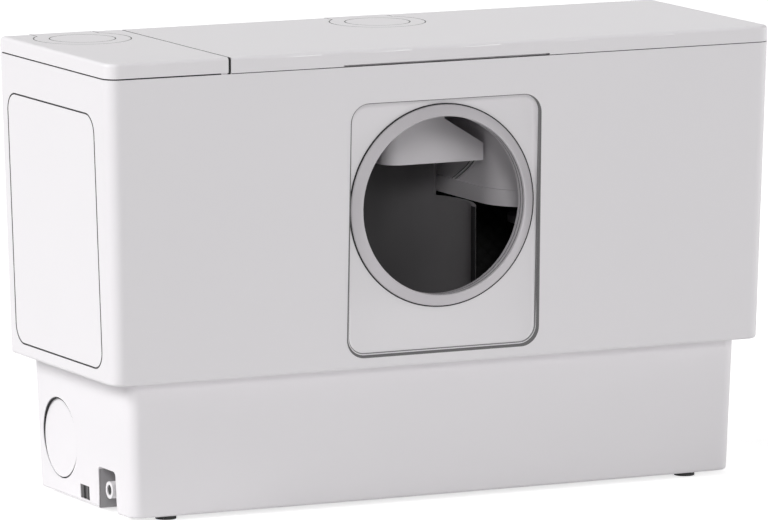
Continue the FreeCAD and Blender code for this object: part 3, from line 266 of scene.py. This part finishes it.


# Moulding of the basket: charcoal with painted shade, dark at the wall side deep inside and
# evenly lighter towards the mouth, with draw marks
def makeBasketPlastic():
    look = dict(drawMarks, far=(0.075, 0.072, 0.075), near=(0.36, 0.346, 0.36), yFar=0.062,
                yNear=0.008, unevenness=0.002, roughness=0.75)
    finish = Finish("basketPlastic")
    draw = finish.noise(look["scale"], detail=3.0, stretch=look["stretch"])
    across = swing(finish.axes()[1], look["unevenness"], draw)
    # Painted shade: the colour goes from near black at the back wall to mid grey at the mouth
    share = finish.add("ShaderNodeMapRange", None, {
        "Value": across, "From Min": look["yFar"], "From Max": look["yNear"]})
    return finish.close({
        "Base Color": finish.blend(share, look["far"], look["near"]),
        "Roughness": swing(look["roughness"], look["reach"], draw),
        "Normal": finish.bump(draw, look["depth"], look["relief"]),
    })


# Elastomer: matt, with a fine talc-like mottling
def makeRubber(name, colour, shade, roughness):
    look = dict(mottleScale=55.0, mottleReach=0.10, grainScale=1100.0, grainDepth=0.00002,
                relief=0.5)
    finish = Finish(name)
    mottle = finish.noise(look["mottleScale"], detail=4.0)
    grain = finish.noise(look["grainScale"], detail=1.0)
    return finish.close({
        "Base Color": finish.blend(mottle, shade, colour),
        "Roughness": swing(roughness, look["mottleReach"], mottle),
        "Normal": finish.bump(grain, look["grainDepth"], look["relief"]),
    })


# Bare metal: streaks along one axis in both roughness and relief, and faint stains
def makeMetal(name, colour, shade, roughness, stretch):
    look = dict(streakScale=180.0, streakReach=0.2, streakDepth=0.00003, relief=0.3,
                stainScale=30.0)
    finish = Finish(name)
    streak = finish.noise(look["streakScale"], detail=3.0, stretch=stretch)
    stain = finish.noise(look["stainScale"])
    return finish.close({
        "Base Color": finish.blend(stain, shade, colour),
        "Metallic": 1.0,
        "Roughness": swing(roughness, look["streakReach"], streak),
        "Normal": finish.bump(streak, look["streakDepth"], look["relief"]),
    })


# Sheet stack of the motor cores: one ring line per sheet, going up the axis
def makeLamination():
    look = dict(colour=(0.33, 0.34, 0.36), groove=(0.10, 0.10, 0.11), sheet=0.0012,
                waver=0.1, roughness=0.55, polish=0.15, depth=0.0001, relief=0.6)
    finish = Finish("lamination")
    lines = finish.bands(look["sheet"], look["waver"])
    return finish.close({
        "Base Color": finish.blend(lines, look["groove"], look["colour"]),
        "Metallic": 0.8,
        "Roughness": look["roughness"] - look["polish"] * lines,
        "Normal": finish.bump(lines, look["depth"], look["relief"]),
    })


# Enamelled copper wire in the coil heads: wavy bands, one per turn of wire
def makeCopperWire():
    look = dict(colour=(0.72, 0.36, 0.17), shade=(0.36, 0.14, 0.06), wire=0.0012,
                waver=2.5, roughness=0.42, polish=0.12, depth=0.0003, relief=0.8)
    finish = Finish("copperWire")
    turns = finish.bands(look["wire"], look["waver"])
    return finish.close({
        "Base Color": finish.blend(turns, look["shade"], look["colour"]),
        "Metallic": 0.85,
        "Roughness": look["roughness"] - look["polish"] * turns,
        "Normal": finish.bump(turns, look["depth"], look["relief"]),
    })


# Printed board: green lacquer with darker copper fields showing through
def makeBoardGreen():
    look = dict(colour=(0.03, 0.20, 0.08), field=(0.015, 0.11, 0.05), fieldScale=160.0,
                gap=0.05, roughness=0.30, fieldReach=0.12)
    finish = Finish("boardGreen")
    field = finish.add("ShaderNodeTexBrick", None, {
        "Vector": finish.place, "Color1": (1, 1, 1, 1), "Color2": (0, 0, 0, 1),
        "Mortar": (0.5, 0.5, 0.5, 1), "Scale": look["fieldScale"],
        "Mortar Size": look["gap"]}, want=1)
    return finish.close({
        "Base Color": finish.blend(field, look["colour"], look["field"]),
        "Roughness": look["roughness"] + look["fieldReach"] * field,
    })


# Finishes by the record's slots, and below them those of single pieces. A dark plastic, a
# rubber and a metal have their colour, shade and roughness, and a metal also the stretch of
# its streaks
finishes = {
    "white_plastic": makeHousingPlastic(),
    "inner_plastic": makeInnerPlastic(),
    "dark_plastic": makeDarkPlastic("darkPlastic", (0.19, 0.18, 0.19), (0.15, 0.143, 0.15), 0.75),
    "grey_rubber": makeRubber("greyRubber", (0.635, 0.609, 0.635), (0.595, 0.570, 0.595), 0.55),
    "black_rubber": makeRubber("blackRubber", (0.028, 0.028, 0.028), (0.018, 0.018, 0.018), 0.7),
    "steel": makeMetal("zincSteel", (0.62, 0.62, 0.60), (0.50, 0.50, 0.50), 0.38, (1, 1, 1)),
    "stainless": makeMetal("groundStainless", (0.68, 0.68, 0.68), (0.58, 0.58, 0.58), 0.30,
                           (1, 1, 0.06)),
    "lamination": makeLamination(),
    "copper_wire": makeCopperWire(),
    "cast_alloy": makeMetal("castAlloy", (0.55, 0.56, 0.57), (0.44, 0.45, 0.46), 0.50, (1, 1, 1)),
    "board_green": makeBoardGreen(),
    "carbon": makeDarkPlastic("carbonFelt", (0.035, 0.035, 0.035), (0.02, 0.02, 0.02), 0.8),
    # The next five are near black and dark greys, mostly for pieces that paint shade and shadow
    # in gaps, grooves, the pocket and inner walls
    "gapRubber": makeRubber("gapRubber", (0.016, 0.016, 0.017), (0.010, 0.010, 0.011), 0.8),
    "paintedShadeDark": makeRubber("paintedShadeDark", (0.15, 0.147, 0.15), (0.13, 0.127, 0.13), 0.7),
    "paintedShadeGrey": makeRubber("paintedShadeGrey", (0.24, 0.235, 0.24), (0.21, 0.205, 0.21), 0.7),
    "paintedShadeBlack": makeRubber("paintedShadeBlack", (0.012, 0.012, 0.012), (0.006, 0.006, 0.006), 0.95),
    "nicheShadeGrey": makeRubber("nicheShadeGrey", (0.42, 0.41, 0.42), (0.36, 0.352, 0.36), 0.7),
    "basket": makeBasketPlastic(),
    "mainLid": makeLidPlastic("mainLidPlastic", keyholes["mainX"]),
    "serviceLid": makeLidPlastic("serviceLidPlastic", keyholes["serviceX"]),
}
ownFinishes = {
    "collecting_basket": "basket",
    "main_lid": "mainLid",
    "main_lid_insert": "mainLid",
    "main_lid_disc": "mainLid",
    "service_lid": "serviceLid",
    "service_lid_insert": "serviceLid",
    "service_lid_disc": "serviceLid",
}

for part in frame["record"]["subparts"]:
    dressed = nodes[part["node"]]
    dressed.data.materials.clear()
    chosen = ownFinishes.get(part["node"], part["material_slot"])
    dressed.data.materials.append(finishes[chosen])
print("stage: finishes made,", len(finishes))


# Left side, right side and front line of a moulding at a height: each goes evenly from its
# low value to its high one
def sidesAt(part, z):
    form = housing[part]
    share = (z - form["low"]) / (form["high"] - form["low"])
    lines = (form["left"], form["right"], form["front"])
    return [low + (high - low) * share for low, high in lines]


# Front face: the front line less the bow, which falls with the square of the distance from
# the middle to nothing at the sides
def frontAt(part, x, z):
    left, right, front = sidesAt(part, z)
    across = (2 * x - left - right) / (right - left)
    return front - housing["bow"] * (1 - across ** 2)


# Puts a piece's points and its faces into a mesh that rides a body
def addPiece(name, points, faces, finish, body="housing", smooth=True):
    mesh = bpy.data.meshes.new(name)
    mesh.from_pydata((points.reshape(-1, 3) * mm).tolist(), [], faces)
    mesh.polygons.foreach_set("use_smooth", np.full(len(faces), smooth))
    mesh.materials.append(finishes[finish])
    piece = bpy.data.objects.new(name, mesh)
    scene.collection.objects.link(piece)
    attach(piece, body)


# Faces of a grid of points, which wraps across and, when closed, along as well; an open
# grid gets one flat face at each end
def gridFaces(along, across, closed):
    i = np.arange(along if closed else along - 1)[:, None]
    j = np.arange(across)[None]
    ahead = (i + 1) % along
    beside = (j + 1) % across
    corners = [i * across + j, ahead * across + j, ahead * across + beside, i * across + beside]
    faces = np.stack(np.broadcast_arrays(*corners), -1).reshape(-1, 4).tolist()
    if not closed:
        first = np.arange(across)
        faces += [first[::-1].tolist(), (first + (along - 1) * across).tolist()]
    return faces


# A strip is a profile carried along a path: point (i, j) is path point i, plus profile j's
# first number times the side direction (run crossed with out), plus its second times out
def addStrip(name, path, out, profile, closed, body="housing", finish="gapRubber"):
    run = np.roll(path, -1, 0) - np.roll(path, 1, 0) if closed else np.gradient(path, axis=0)
    out = np.broadcast_to(np.array(out, float), path.shape)
    side = np.cross(run, out)
    side /= np.linalg.norm(side, axis=1, keepdims=True)
    profile = np.asarray(profile, float)
    sideways = profile[None, :, :1] * side[:, None]
    points = path[:, None] + sideways + profile[None, :, 1:] * out[:, None]
    faces = gridFaces(len(path), len(profile), closed)
    addPiece(name, points, faces, finish, body)


# A sheet is a front grid of points and a rear one, joined round all four edges
def addSheet(name, front, rear, finish):
    points = np.concatenate([front, rear[:, ::-1]], 1)
    addPiece(name, points, gridFaces(*points.shape[:2], False), finish)


# Paths from flat points: level at a height z, or upright at a depth y
def levelPath(flat, z):
    return np.column_stack([flat, np.full(len(flat), z)])


def uprightPath(flat, y):
    return np.column_stack([flat[:, 0], np.full(len(flat), y), flat[:, 1]])


# Cross-section of a strip: a flattened circle, squarer as the power grows
def stripProfile(width, height, count=12, power=4):
    turn = np.arange(count) * 2 * np.pi / count + np.pi / count
    reach = (np.abs(np.cos(turn)) ** power + np.abs(np.sin(turn)) ** power) ** (-1 / power)
    return np.stack([np.cos(turn) * reach * width / 2, np.sin(turn) * reach * height / 2], 1)


# Rounded rectangle as one closed run: each corner's centre plus its radius times the
# cosine and sine of an angle that turns once round
def roundedLoop(low, high, radius, count):
    step = np.arange(4 * count)
    quarter = step // count * np.pi / 2
    turn = quarter + step % count / (count - 1) * np.pi / 2
    middle = (np.array(low) + np.array(high)) / 2
    half = (np.array(high) - np.array(low)) / 2 - radius
    corner = np.sign(np.stack([np.cos(quarter + np.pi / 4), np.sin(quarter + np.pi / 4)], 1))
    return middle + corner * half + radius * np.stack([np.cos(turn), np.sin(turn)], 1)


# Circle: the middle plus a radius times the cosine and sine of an angle
def circleLoop(middle, radius, count):
    turn = np.arange(count) * 2 * np.pi / count
    return np.array(middle) + radius * np.stack([np.cos(turn), np.sin(turn)], 1)


# Black lip that covers the gap round the side panel and lies on the casing's side, as a painted
# shadow of the gap: a rounded rectangle carries a low profile with sloped edges
def makePanelLip():
    lip = dict(low=(-52.5, 89.6), high=(67.1, 233.9), radius=10.5, cornerPoints=10,
               width=0.95, height=0.14, topShare=0.7)
    loop = roundedLoop(lip["low"], lip["high"], lip["radius"], lip["cornerPoints"])
    left = sidesAt("casing", loop[:, 1])[0]
    path = np.column_stack([left, loop])
    half, high = lip["width"] / 2, lip["height"]
    top = half * lip["topShare"]
    profile = [(half, 0), (top, high), (-top, high), (-half, 0)]
    addStrip("panelShadowLip", path, (-1, 0, 0), profile, True, "side_panel")


# Black rings that fill the gap round the two low inlet plugs, as a painted shadow of the gap:
# circles on the sump's sides, sunk under the surface
def makePlugRings():
    ring = dict(y=45.7, z=35.6, radius=23.05, count=96, width=0.84, height=1.4, sunk=0.95)
    loop = circleLoop((ring["y"], ring["z"]), ring["radius"], ring["count"])
    profile = stripProfile(ring["width"], ring["height"])
    for name, side, way in (("leftPlugShadowRing", 0, -1), ("rightPlugShadowRing", 1, 1)):
        wall = sidesAt("sump", loop[:, 1])[side] - way * ring["sunk"]
        addStrip(name, np.column_stack([wall, loop]), (way, 0, 0), profile, True)


# Open run round the two sides and the bowed front of the lid, drawn in by an inset: a
# straight side, a corner arc, the front as a parabola, a corner arc and a side again
def lidRun(inset, xLow, xHigh):
    lid = dict(sidePoints=12, cornerPoints=10, frontPoints=60, backGap=1.0, cornerBow=0.08)
    top = housing["casing"]["high"]
    left, right, front = sidesAt("casing", top)
    reach = housing["cornerRound"] - inset
    turn = np.linspace(0, np.pi / 2, lid["cornerPoints"] + 2)[1:-1]
    cornerX = right - inset - reach
    cornerY = front + housing["bow"] * lid["cornerBow"] + inset + reach
    sideY = np.linspace(housing["back"] - lid["backGap"], cornerY, lid["sidePoints"])
    frontX = np.linspace(-cornerX, cornerX, lid["frontPoints"])
    frontY = frontAt("casing", frontX, top) + inset
    x = np.concatenate([np.full(len(sideY), left + inset), -cornerX - reach * np.cos(turn),
                        frontX, cornerX + reach * np.sin(turn),
                        np.full(len(sideY), right - inset)])
    y = np.concatenate([sideY, cornerY - reach * np.sin(turn), frontY,
                        cornerY - reach * np.cos(turn), sideY[::-1]])
    kept = (x > xLow) & (x < xHigh)
    return np.stack([x, y], 1)[kept]


# Black strips on the casing's rim in the shadow gap under the lids, as a painted shadow of the
# gap: one on each side of the seam
def makeLidStrips():
    strip = dict(inset=0.62, width=0.9, serviceHeight=0.66, mainHeight=0.36, seamGap=1.2,
                 lift=0.01, farSide=300)
    rim = housing["casing"]["high"]
    spans = (("serviceLidShadowStrip", -strip["farSide"], seamX - strip["seamGap"], "serviceHeight"),
             ("mainLidShadowStrip", seamX + strip["seamGap"], strip["farSide"], "mainHeight"))
    for name, low, high, heightName in spans:
        tall = strip[heightName]
        path = levelPath(lidRun(strip["inset"], low, high), rim + tall / 2 + strip["lift"])
        addStrip(name, path, (0, 0, 1), stripProfile(strip["width"], tall), False)


# Upright black blade between the two lids, on top of the dividing wall, as a painted shadow of
# the seam: a straight run from the front to the back with a nearly square cross-section
def makeSeamBlade():
    blade = dict(width=1.48, low=255.55, high=264.9, front=0.3, back=3.2, count=24,
                 profilePoints=16, squareness=14)
    yFront = frontAt("casing", seamX, housing["casing"]["high"]) + blade["front"]
    y = np.linspace(yFront, housing["back"] - blade["back"], blade["count"])
    flat = np.column_stack([np.full(len(y), seamX), y])
    path = levelPath(flat, (blade["low"] + blade["high"]) / 2)
    profile = stripProfile(blade["width"], blade["high"] - blade["low"],
                           blade["profilePoints"], blade["squareness"])
    addStrip("seamShadowBlade", path, (0, 0, 1), profile, False)


# Keyhole outline as an open run: up one side of the neck, round a hollow joint, round the
# disc end and back; each arc is a centre plus a radius times cosine and sine
def keyholeRun(exitX, inset):
    key = dict(radius=28.0, neck=19.5, joint=4.0, back=74.6, neckPoints=7, jointPoints=7,
               endPoints=40)
    radius, neck, joint = key["radius"] - inset, key["neck"] - inset, key["joint"]
    jointX = neck + joint
    jointY = math.sqrt((radius + joint) ** 2 - jointX ** 2)
    meet = math.atan2(jointY, jointX)
    hollow = np.linspace(math.pi, math.pi + meet, key["jointPoints"])
    end = np.linspace(meet, -math.pi / 2, key["endPoints"])[1:]
    straight = np.linspace(key["back"] - keyholes["y"], jointY, key["neckPoints"] + 1)[:-1]
    x = np.concatenate([np.full(len(straight), neck), jointX + joint * np.cos(hollow),
                        radius * np.cos(end)])
    y = np.concatenate([straight, jointY + joint * np.sin(hollow), radius * np.sin(end)])
    x = np.concatenate([x, -x[-2::-1]])
    y = np.concatenate([y, y[-2::-1]])
    return np.stack([exitX + x, keyholes["y"] + y], 1)


# Black lines of the keyhole inserts, a painted shadow of the gaps: a cord in the gap of each
# insert and each disc
def makeKeyholeCords():
    cord = dict(gap=0.27, top=264.96, deep=1.5, inset=0.15, profilePoints=8, discPoints=72)
    profile = stripProfile(cord["gap"], cord["deep"], cord["profilePoints"])
    height = cord["top"] - cord["deep"] / 2
    for name, exitX, lid, insert in (
            ("service", keyholes["serviceX"], "service_lid", "service_lid_insert"),
            ("main", keyholes["mainX"], "main_lid", "main_lid_insert")):
        path = levelPath(keyholeRun(exitX, cord["inset"]), height)
        addStrip(name + "KeyholeShadowCord", path, (0, 0, 1), profile, False, lid)
        loop = circleLoop((exitX, keyholes["y"]), keyholes["discRadius"], cord["discPoints"])
        addStrip(name + "DiscShadowCord", levelPath(loop, height), (0, 0, 1), profile, True, insert)


# Round black cord in the groove outside the inlet's grey ring, a painted shadow of the groove
def makeInletCord():
    cord = dict(radius=58.0, count=128, width=0.7, height=2.0, y=-67.05)
    loop = circleLoop((inlet["x"], inlet["z"]), cord["radius"], cord["count"])
    profile = stripProfile(cord["width"], cord["height"])
    addStrip("inletShadowCord", uprightPath(loop, cord["y"]), (0, -1, 0), profile, True)


# Two thin black cords in the fine grooves inside the inlet's ring, a painted shade of the grooves
def makeLipCords():
    cord = dict(radius=51.38, count=128, width=0.5, height=0.8, profilePoints=8,
                ys=(-68.32, -65.12))
    loop = circleLoop((inlet["x"], inlet["z"]), cord["radius"], cord["count"])
    profile = stripProfile(cord["width"], cord["height"], cord["profilePoints"])
    for number, y in enumerate(cord["ys"]):
        name = "lipShadeCord%d" % (number + 1)
        addStrip(name, uprightPath(loop, y), (0, -1, 0), profile, True)


# Black trim on the upright cut edge of the basket's mouth
def makeMouthTrim():
    trim = dict(x=47.3, y=-14.05, low=113.8, high=162.1, count=20, width=5.4, thick=0.6)
    z = np.linspace(trim["low"], trim["high"], trim["count"])
    flat = np.column_stack([np.full(len(z), trim["x"]), z])
    profile = stripProfile(trim["width"], trim["thick"])
    addStrip("mouthTrim", uprightPath(flat, trim["y"]), (-1, 0, 0), profile, False)


# Thin grey edging on the walls of the inlet's pocket, a painted shade of those walls. Across it
# runs from just under the front face to near the pocket's floor, where the wall turns in on a
# round:
# its inset there is the round's radius less the root of radius squared less rest squared
def makePocketEdging():
    edging = dict(cornerPoints=12, floorY=-67.066, round=2.5, under=0.12, above=0.5,
                  share=0.4, reach=3.0, thick=0.12, behind=0.01,
                  steps=(0, 0.15, 0.35, 0.6, 0.8, 1.0))
    loop = roundedLoop(pocket["low"], pocket["high"], pocket["radius"], edging["cornerPoints"])
    run = np.roll(loop, -1, 0) - np.roll(loop, 1, 0)
    inward = np.stack([-run[:, 1], run[:, 0]], 1)
    inward /= np.linalg.norm(inward, axis=1, keepdims=True)
    deep = edging["floorY"] - frontAt("casing", loop[:, 0], loop[:, 1])
    first = (deep - edging["under"])[:, None]
    nearFloor = np.minimum(edging["above"], deep * edging["share"])
    last = np.maximum(nearFloor, deep - edging["reach"])[:, None]
    steps = np.array(edging["steps"])
    up = first + (last - first) * np.concatenate([steps, steps[::-1]])[None]
    rest = np.clip(edging["round"] - up, 0, None)
    inset = edging["round"] - np.sqrt(edging["round"] ** 2 - rest ** 2)
    inset += np.repeat([edging["thick"], edging["behind"]], len(steps))[None]
    flat = loop[:, None] + inward[:, None] * inset[..., None]
    points = np.stack([flat[..., 0], edging["floorY"] - up, flat[..., 1]], -1)
    faces = gridFaces(*points.shape[:2], True)
    addPiece("pocketShadeEdging", points, faces, "paintedShadeGrey")


# Dark lip on the front round the pocket, a painted shadow line along its edge. Its inner edge is
# the pocket's outline; its outer edge is a larger rounded rectangle whose right side leans in
# towards the top
def makePocketLip():
    lip = dict(cornerPoints=12, left=0.5, below=1.6, right=1.9, above=0.3, rounder=0.8,
               lean=1.5, over=0.1, height=0.1, under=0.3)
    low, high = np.array(pocket["low"]), np.array(pocket["high"])
    inner = roundedLoop(low, high, pocket["radius"], lip["cornerPoints"])
    outer = roundedLoop(low - (lip["left"], lip["below"]), high + (lip["right"], lip["above"]),
                        pocket["radius"] + lip["rounder"], lip["cornerPoints"])
    rise = np.clip((outer[:, 1] - low[1]) / (high[1] - low[1]), 0, 1)
    outer[:, 0] -= np.where(outer[:, 0] > 0, lip["lean"] * rise, 0)
    inner -= (outer - inner) * lip["over"]
    flat = np.stack([outer, outer, inner, inner], 1)
    lift = np.array([-lip["under"], lip["height"], lip["height"], -lip["under"]])
    y = frontAt("casing", flat[..., 0], flat[..., 1]) - lift
    points = np.stack([flat[..., 0], y, flat[..., 1]], -1)
    faces = gridFaces(*points.shape[:2], True)
    addPiece("pocketShadowLip", points, faces, "paintedShadeDark", smooth=False)


# Dark louvre in the small slot, a painted shade of the slot's depth: its depth follows a cosine
# along the slot, and two upright bars stand before it
def makeSlotLouvre():
    louvre = dict(yLow=7.75, yHigh=20.15, zLow=4.95, zHigh=12.85, along=61, up=9,
                  under=0.3, wave=1.6, thick=0.2, ribs=3)
    bar = dict(ys=(15.6, 9.3), count=6, width=1.3, thick=0.5, profilePoints=8, under=0.4)
    y, z = np.meshgrid(np.linspace(louvre["yLow"], louvre["yHigh"], louvre["along"]),
                       np.linspace(louvre["zLow"], louvre["zHigh"], louvre["up"]),
                       indexing="ij")
    along = (y - louvre["yLow"]) / (louvre["yHigh"] - louvre["yLow"])
    depth = louvre["wave"] * (1 - np.cos(along * 2 * np.pi * louvre["ribs"])) / 2
    face = sidesAt("sump", z)[0] + louvre["under"] + depth
    front = np.stack([face, y, z], -1)
    rear = np.stack([face + louvre["thick"], y, z], -1)
    addSheet("slotShadeLouvre", front, rear, "paintedShadeDark")
    z = np.linspace(louvre["zLow"], louvre["zHigh"], bar["count"])
    x = sidesAt("sump", z)[0] + bar["under"]
    profile = stripProfile(bar["width"], bar["thick"], bar["profilePoints"])
    for number, y in enumerate(bar["ys"]):
        path = uprightPath(np.column_stack([x, z]), y)
        addStrip("slotBar%d" % (number + 1), path, (-1, 0, 0), profile, False)


# Domed stopper in the mouth of the drain nipple: rings whose radius falls as they rise
def makeDrainStopper():
    stopper = dict(x=-184.3, y=-18.1, z=14.9, radius=2.9, deep=2.5, bevel=0.1, dome=0.5,
                   radiusShares=(0.98, 1.0, 1.0, 0.8, 0.5, 0.02), domeShares=(0, 0.6, 0.9, 1.0),
                   count=24)
    spin = np.arange(stopper["count"]) * 2 * np.pi / stopper["count"]
    radius = np.array(stopper["radiusShares"])[:, None] * stopper["radius"]
    foot = -stopper["deep"]
    dome = np.array(stopper["domeShares"]) * stopper["dome"]
    out = np.concatenate([[foot, foot + stopper["bevel"]], dome])[:, None]
    points = np.stack(np.broadcast_arrays(stopper["x"] - out,
                                          stopper["y"] + radius * np.cos(spin),
                                          stopper["z"] + radius * np.sin(spin)), -1)
    faces = gridFaces(*points.shape[:2], False)
    addPiece("drainStopper", points, faces, "black_rubber")


# Near-black pyramid mat on the back wall beside the basket, a painted shade of the dark inside
# of the tank: its thickness follows the product of a sine along and a sine up
def makeShadeMat():
    mat = dict(xLow=62.0, xHigh=196.0, zLow=88.0, zHigh=160.0, along=136, up=73, y=71.85,
               base=2.5, knob=2.0, pitch=9.0)
    x, z = np.meshgrid(np.linspace(mat["xLow"], mat["xHigh"], mat["along"]),
                       np.linspace(mat["zLow"], mat["zHigh"], mat["up"]), indexing="ij")
    turn = 2 * np.pi / mat["pitch"]
    knob = (1 + np.sin((x - mat["xLow"]) * turn) * np.sin((z - mat["zLow"]) * turn)) / 2
    front = np.stack([x, mat["y"] - mat["base"] - mat["knob"] * knob, z], -1)
    rear = np.stack([x, np.full(x.shape, mat["y"]), z], -1)
    addSheet("paintedShadeMat", front, rear, "paintedShadeBlack")


# Bent clip between the hood and the motor box: two pale strips on the box's wall, each with
# a thin dark cord beside it as its painted shadow. All four follow one run, whose inner points
# are a quarter of each neighbour plus half of themselves, shifted along y
def makeHoodClip():
    clip = dict(x=57.0, count=31, profilePoints=8,
                run=((1.2, 188.3), (2.7, 186.0), (8.1, 181.9), (15.2, 178.1), (21.6, 174.7),
                     (26.2, 172.6)),
                # The dark cords are painted shadows of the pale strips
                strips=((0.0, "white_plastic", 1.0, 1.2), (1.5, "paintedShadeGrey", 0.9, 0.5),
                        (4.2, "white_plastic", 1.0, 1.2), (5.7, "paintedShadeGrey", 0.9, 0.5)))
    y, z = np.array(clip["run"]).T
    place = np.arange(len(y))
    share = np.linspace(0, place[-1], clip["count"])
    smooth = np.column_stack([np.full(clip["count"], clip["x"]), np.interp(share, place, y),
                              np.interp(share, place, z)])
    smooth[1:-1] = (smooth[:-2] + 2 * smooth[1:-1] + smooth[2:]) / 4
    for number, (shift, finish, width, thick) in enumerate(clip["strips"]):
        profile = stripProfile(width, thick, clip["profilePoints"])
        addStrip("hoodClip%d" % (number + 1), smooth + np.array([0, shift, 0]), (-1, 0, 0),
                 profile, False, finish=finish)


# Grey liner on the niche's side wall, a painted shade of the niche: a sheet whose face swells by
# a sine along and up
def makeNicheLiner():
    liner = dict(xLow=-185.9, xHigh=-159.6, zLow=3.0, zHigh=26.8, along=24, up=12, y=-6.32,
                 thick=0.3, sunk=0.1, swell=0.25)
    along, up = np.meshgrid(np.linspace(0, 1, liner["along"]), np.linspace(0, 1, liner["up"]),
                            indexing="ij")
    x = liner["xLow"] + (liner["xHigh"] - liner["xLow"]) * along
    z = liner["zLow"] + (liner["zHigh"] - liner["zLow"]) * up
    swell = liner["swell"] * np.sin(np.pi * along) * np.sin(np.pi * up)
    front = np.stack([x, liner["y"] - liner["thick"] - swell, z], -1)
    rear = np.stack([x, np.full(x.shape, liner["y"] + liner["sunk"]), z], -1)
    addSheet("nicheShadeLiner", front, rear, "nicheShadeGrey")


makePanelLip()
makePlugRings()
makeLidStrips()
makeSeamBlade()
makeKeyholeCords()
makeInletCord()
makeLipCords()
makeMouthTrim()
makePocketEdging()
makePocketLip()
makeSlotLouvre()
makeDrainStopper()
makeShadeMat()
makeHoodClip()
makeNicheLiner()
print("stage: seals, cords and mats")


# Camera at the photograph's angle; the lens and the place come from its fitted edges
def makeCamera():
    view = dict(target=(0.0035, 0.0133, 0.1303), distance=4.978, yaw=26.07, pitch=8.30,
                lens=404.5, sensor=36, reach=50)
    yaw = math.radians(view["yaw"])
    pitch = math.radians(view["pitch"])
    level = math.cos(pitch)
    right = Vector((math.cos(yaw), -math.sin(yaw), 0))
    ahead = Vector((math.sin(yaw) * level, math.cos(yaw) * level, -math.sin(pitch)))
    up = right.cross(ahead)
    turn = Matrix((right, up, -ahead)).transposed()
    camera = bpy.data.objects.new("photoCamera", bpy.data.cameras.new("photoCamera"))
    camera.matrix_world = turn.to_4x4()
    camera.location = Vector(view["target"]) - ahead * view["distance"]
    camera.data.lens = view["lens"]
    camera.data.sensor_width = view["sensor"]
    camera.data.clip_end = view["reach"]
    scene.collection.objects.link(camera)
    scene.camera = camera


# Soft studio light: an even pale room and four broad lamps. The key comes from the left and
# above and passes the front, the face lamp comes from the front left and above, the fill
# from the front at the object's height, and the edge lamp from the right. Each lamp has its
# strength, its breadth in degrees and the way that it shines
def makeLight():
    light = dict(room=0.22,
                 key=(2.20, 24.0, (0.84, -0.06, -0.52)),
                 face=(0.62, 12.0, (0.42, 1.0, -0.38)),
                 fill=(0.45, 20.0, (-0.12, 1.0, -0.06)),
                 edge=(0.9, 10.0, (-1.0, 0.10, -0.12)))
    world = bpy.data.worlds.new("paleRoom")
    graph = Graph(world)
    strength = light["room"] + (1 - light["room"]) * graph.direct()
    room = graph.add("ShaderNodeBackground", None, {"Color": (1, 1, 1, 1), "Strength": strength})
    graph.end("ShaderNodeOutputWorld", room)
    scene.world = world
    for name in ("key", "face", "fill", "edge"):
        energy, breadth, way = light[name]
        lamp = bpy.data.objects.new(name + "Lamp", bpy.data.lights.new(name + "Lamp", "SUN"))
        lamp.data.energy = energy
        lamp.data.angle = math.radians(breadth)
        lamp.rotation_euler = Vector(way).to_track_quat("-Z", "Y").to_euler()
        scene.collection.objects.link(lamp)


# Pale floor: a matt surface that keeps the soft shadow of the object, plus a glow for what
# is seen directly, so that it shows near white
def makeFloor():
    plane = dict(half=6.0, colour=0.80, lift=0.68)
    corners = np.array([(-1, -1, 0), (1, -1, 0), (1, 1, 0), (-1, 1, 0)]) * plane["half"]
    mesh = bpy.data.meshes.new("studioFloor")
    mesh.from_pydata(corners.tolist(), [], [(0, 1, 2, 3)])
    floor = bpy.data.objects.new("studioFloor", mesh)
    scene.collection.objects.link(floor)
    finish = Finish("paleFloor")
    colour = (plane["colour"], plane["colour"], plane["colour"], 1)
    strength = plane["lift"] * finish.direct()
    matt = finish.add("ShaderNodeBsdfDiffuse", None, {"Color": colour})
    glow = finish.add("ShaderNodeEmission", None, {"Color": (1, 1, 1, 1), "Strength": strength})
    both = finish.add("ShaderNodeAddShader", None, {0: matt, 1: glow})
    finish.end("ShaderNodeOutputMaterial", both)
    mesh.materials.append(finish.material)


makeCamera()
makeLight()
makeFloor()
scene.view_settings.view_transform = "Standard"
print("stage: camera, light and floor")
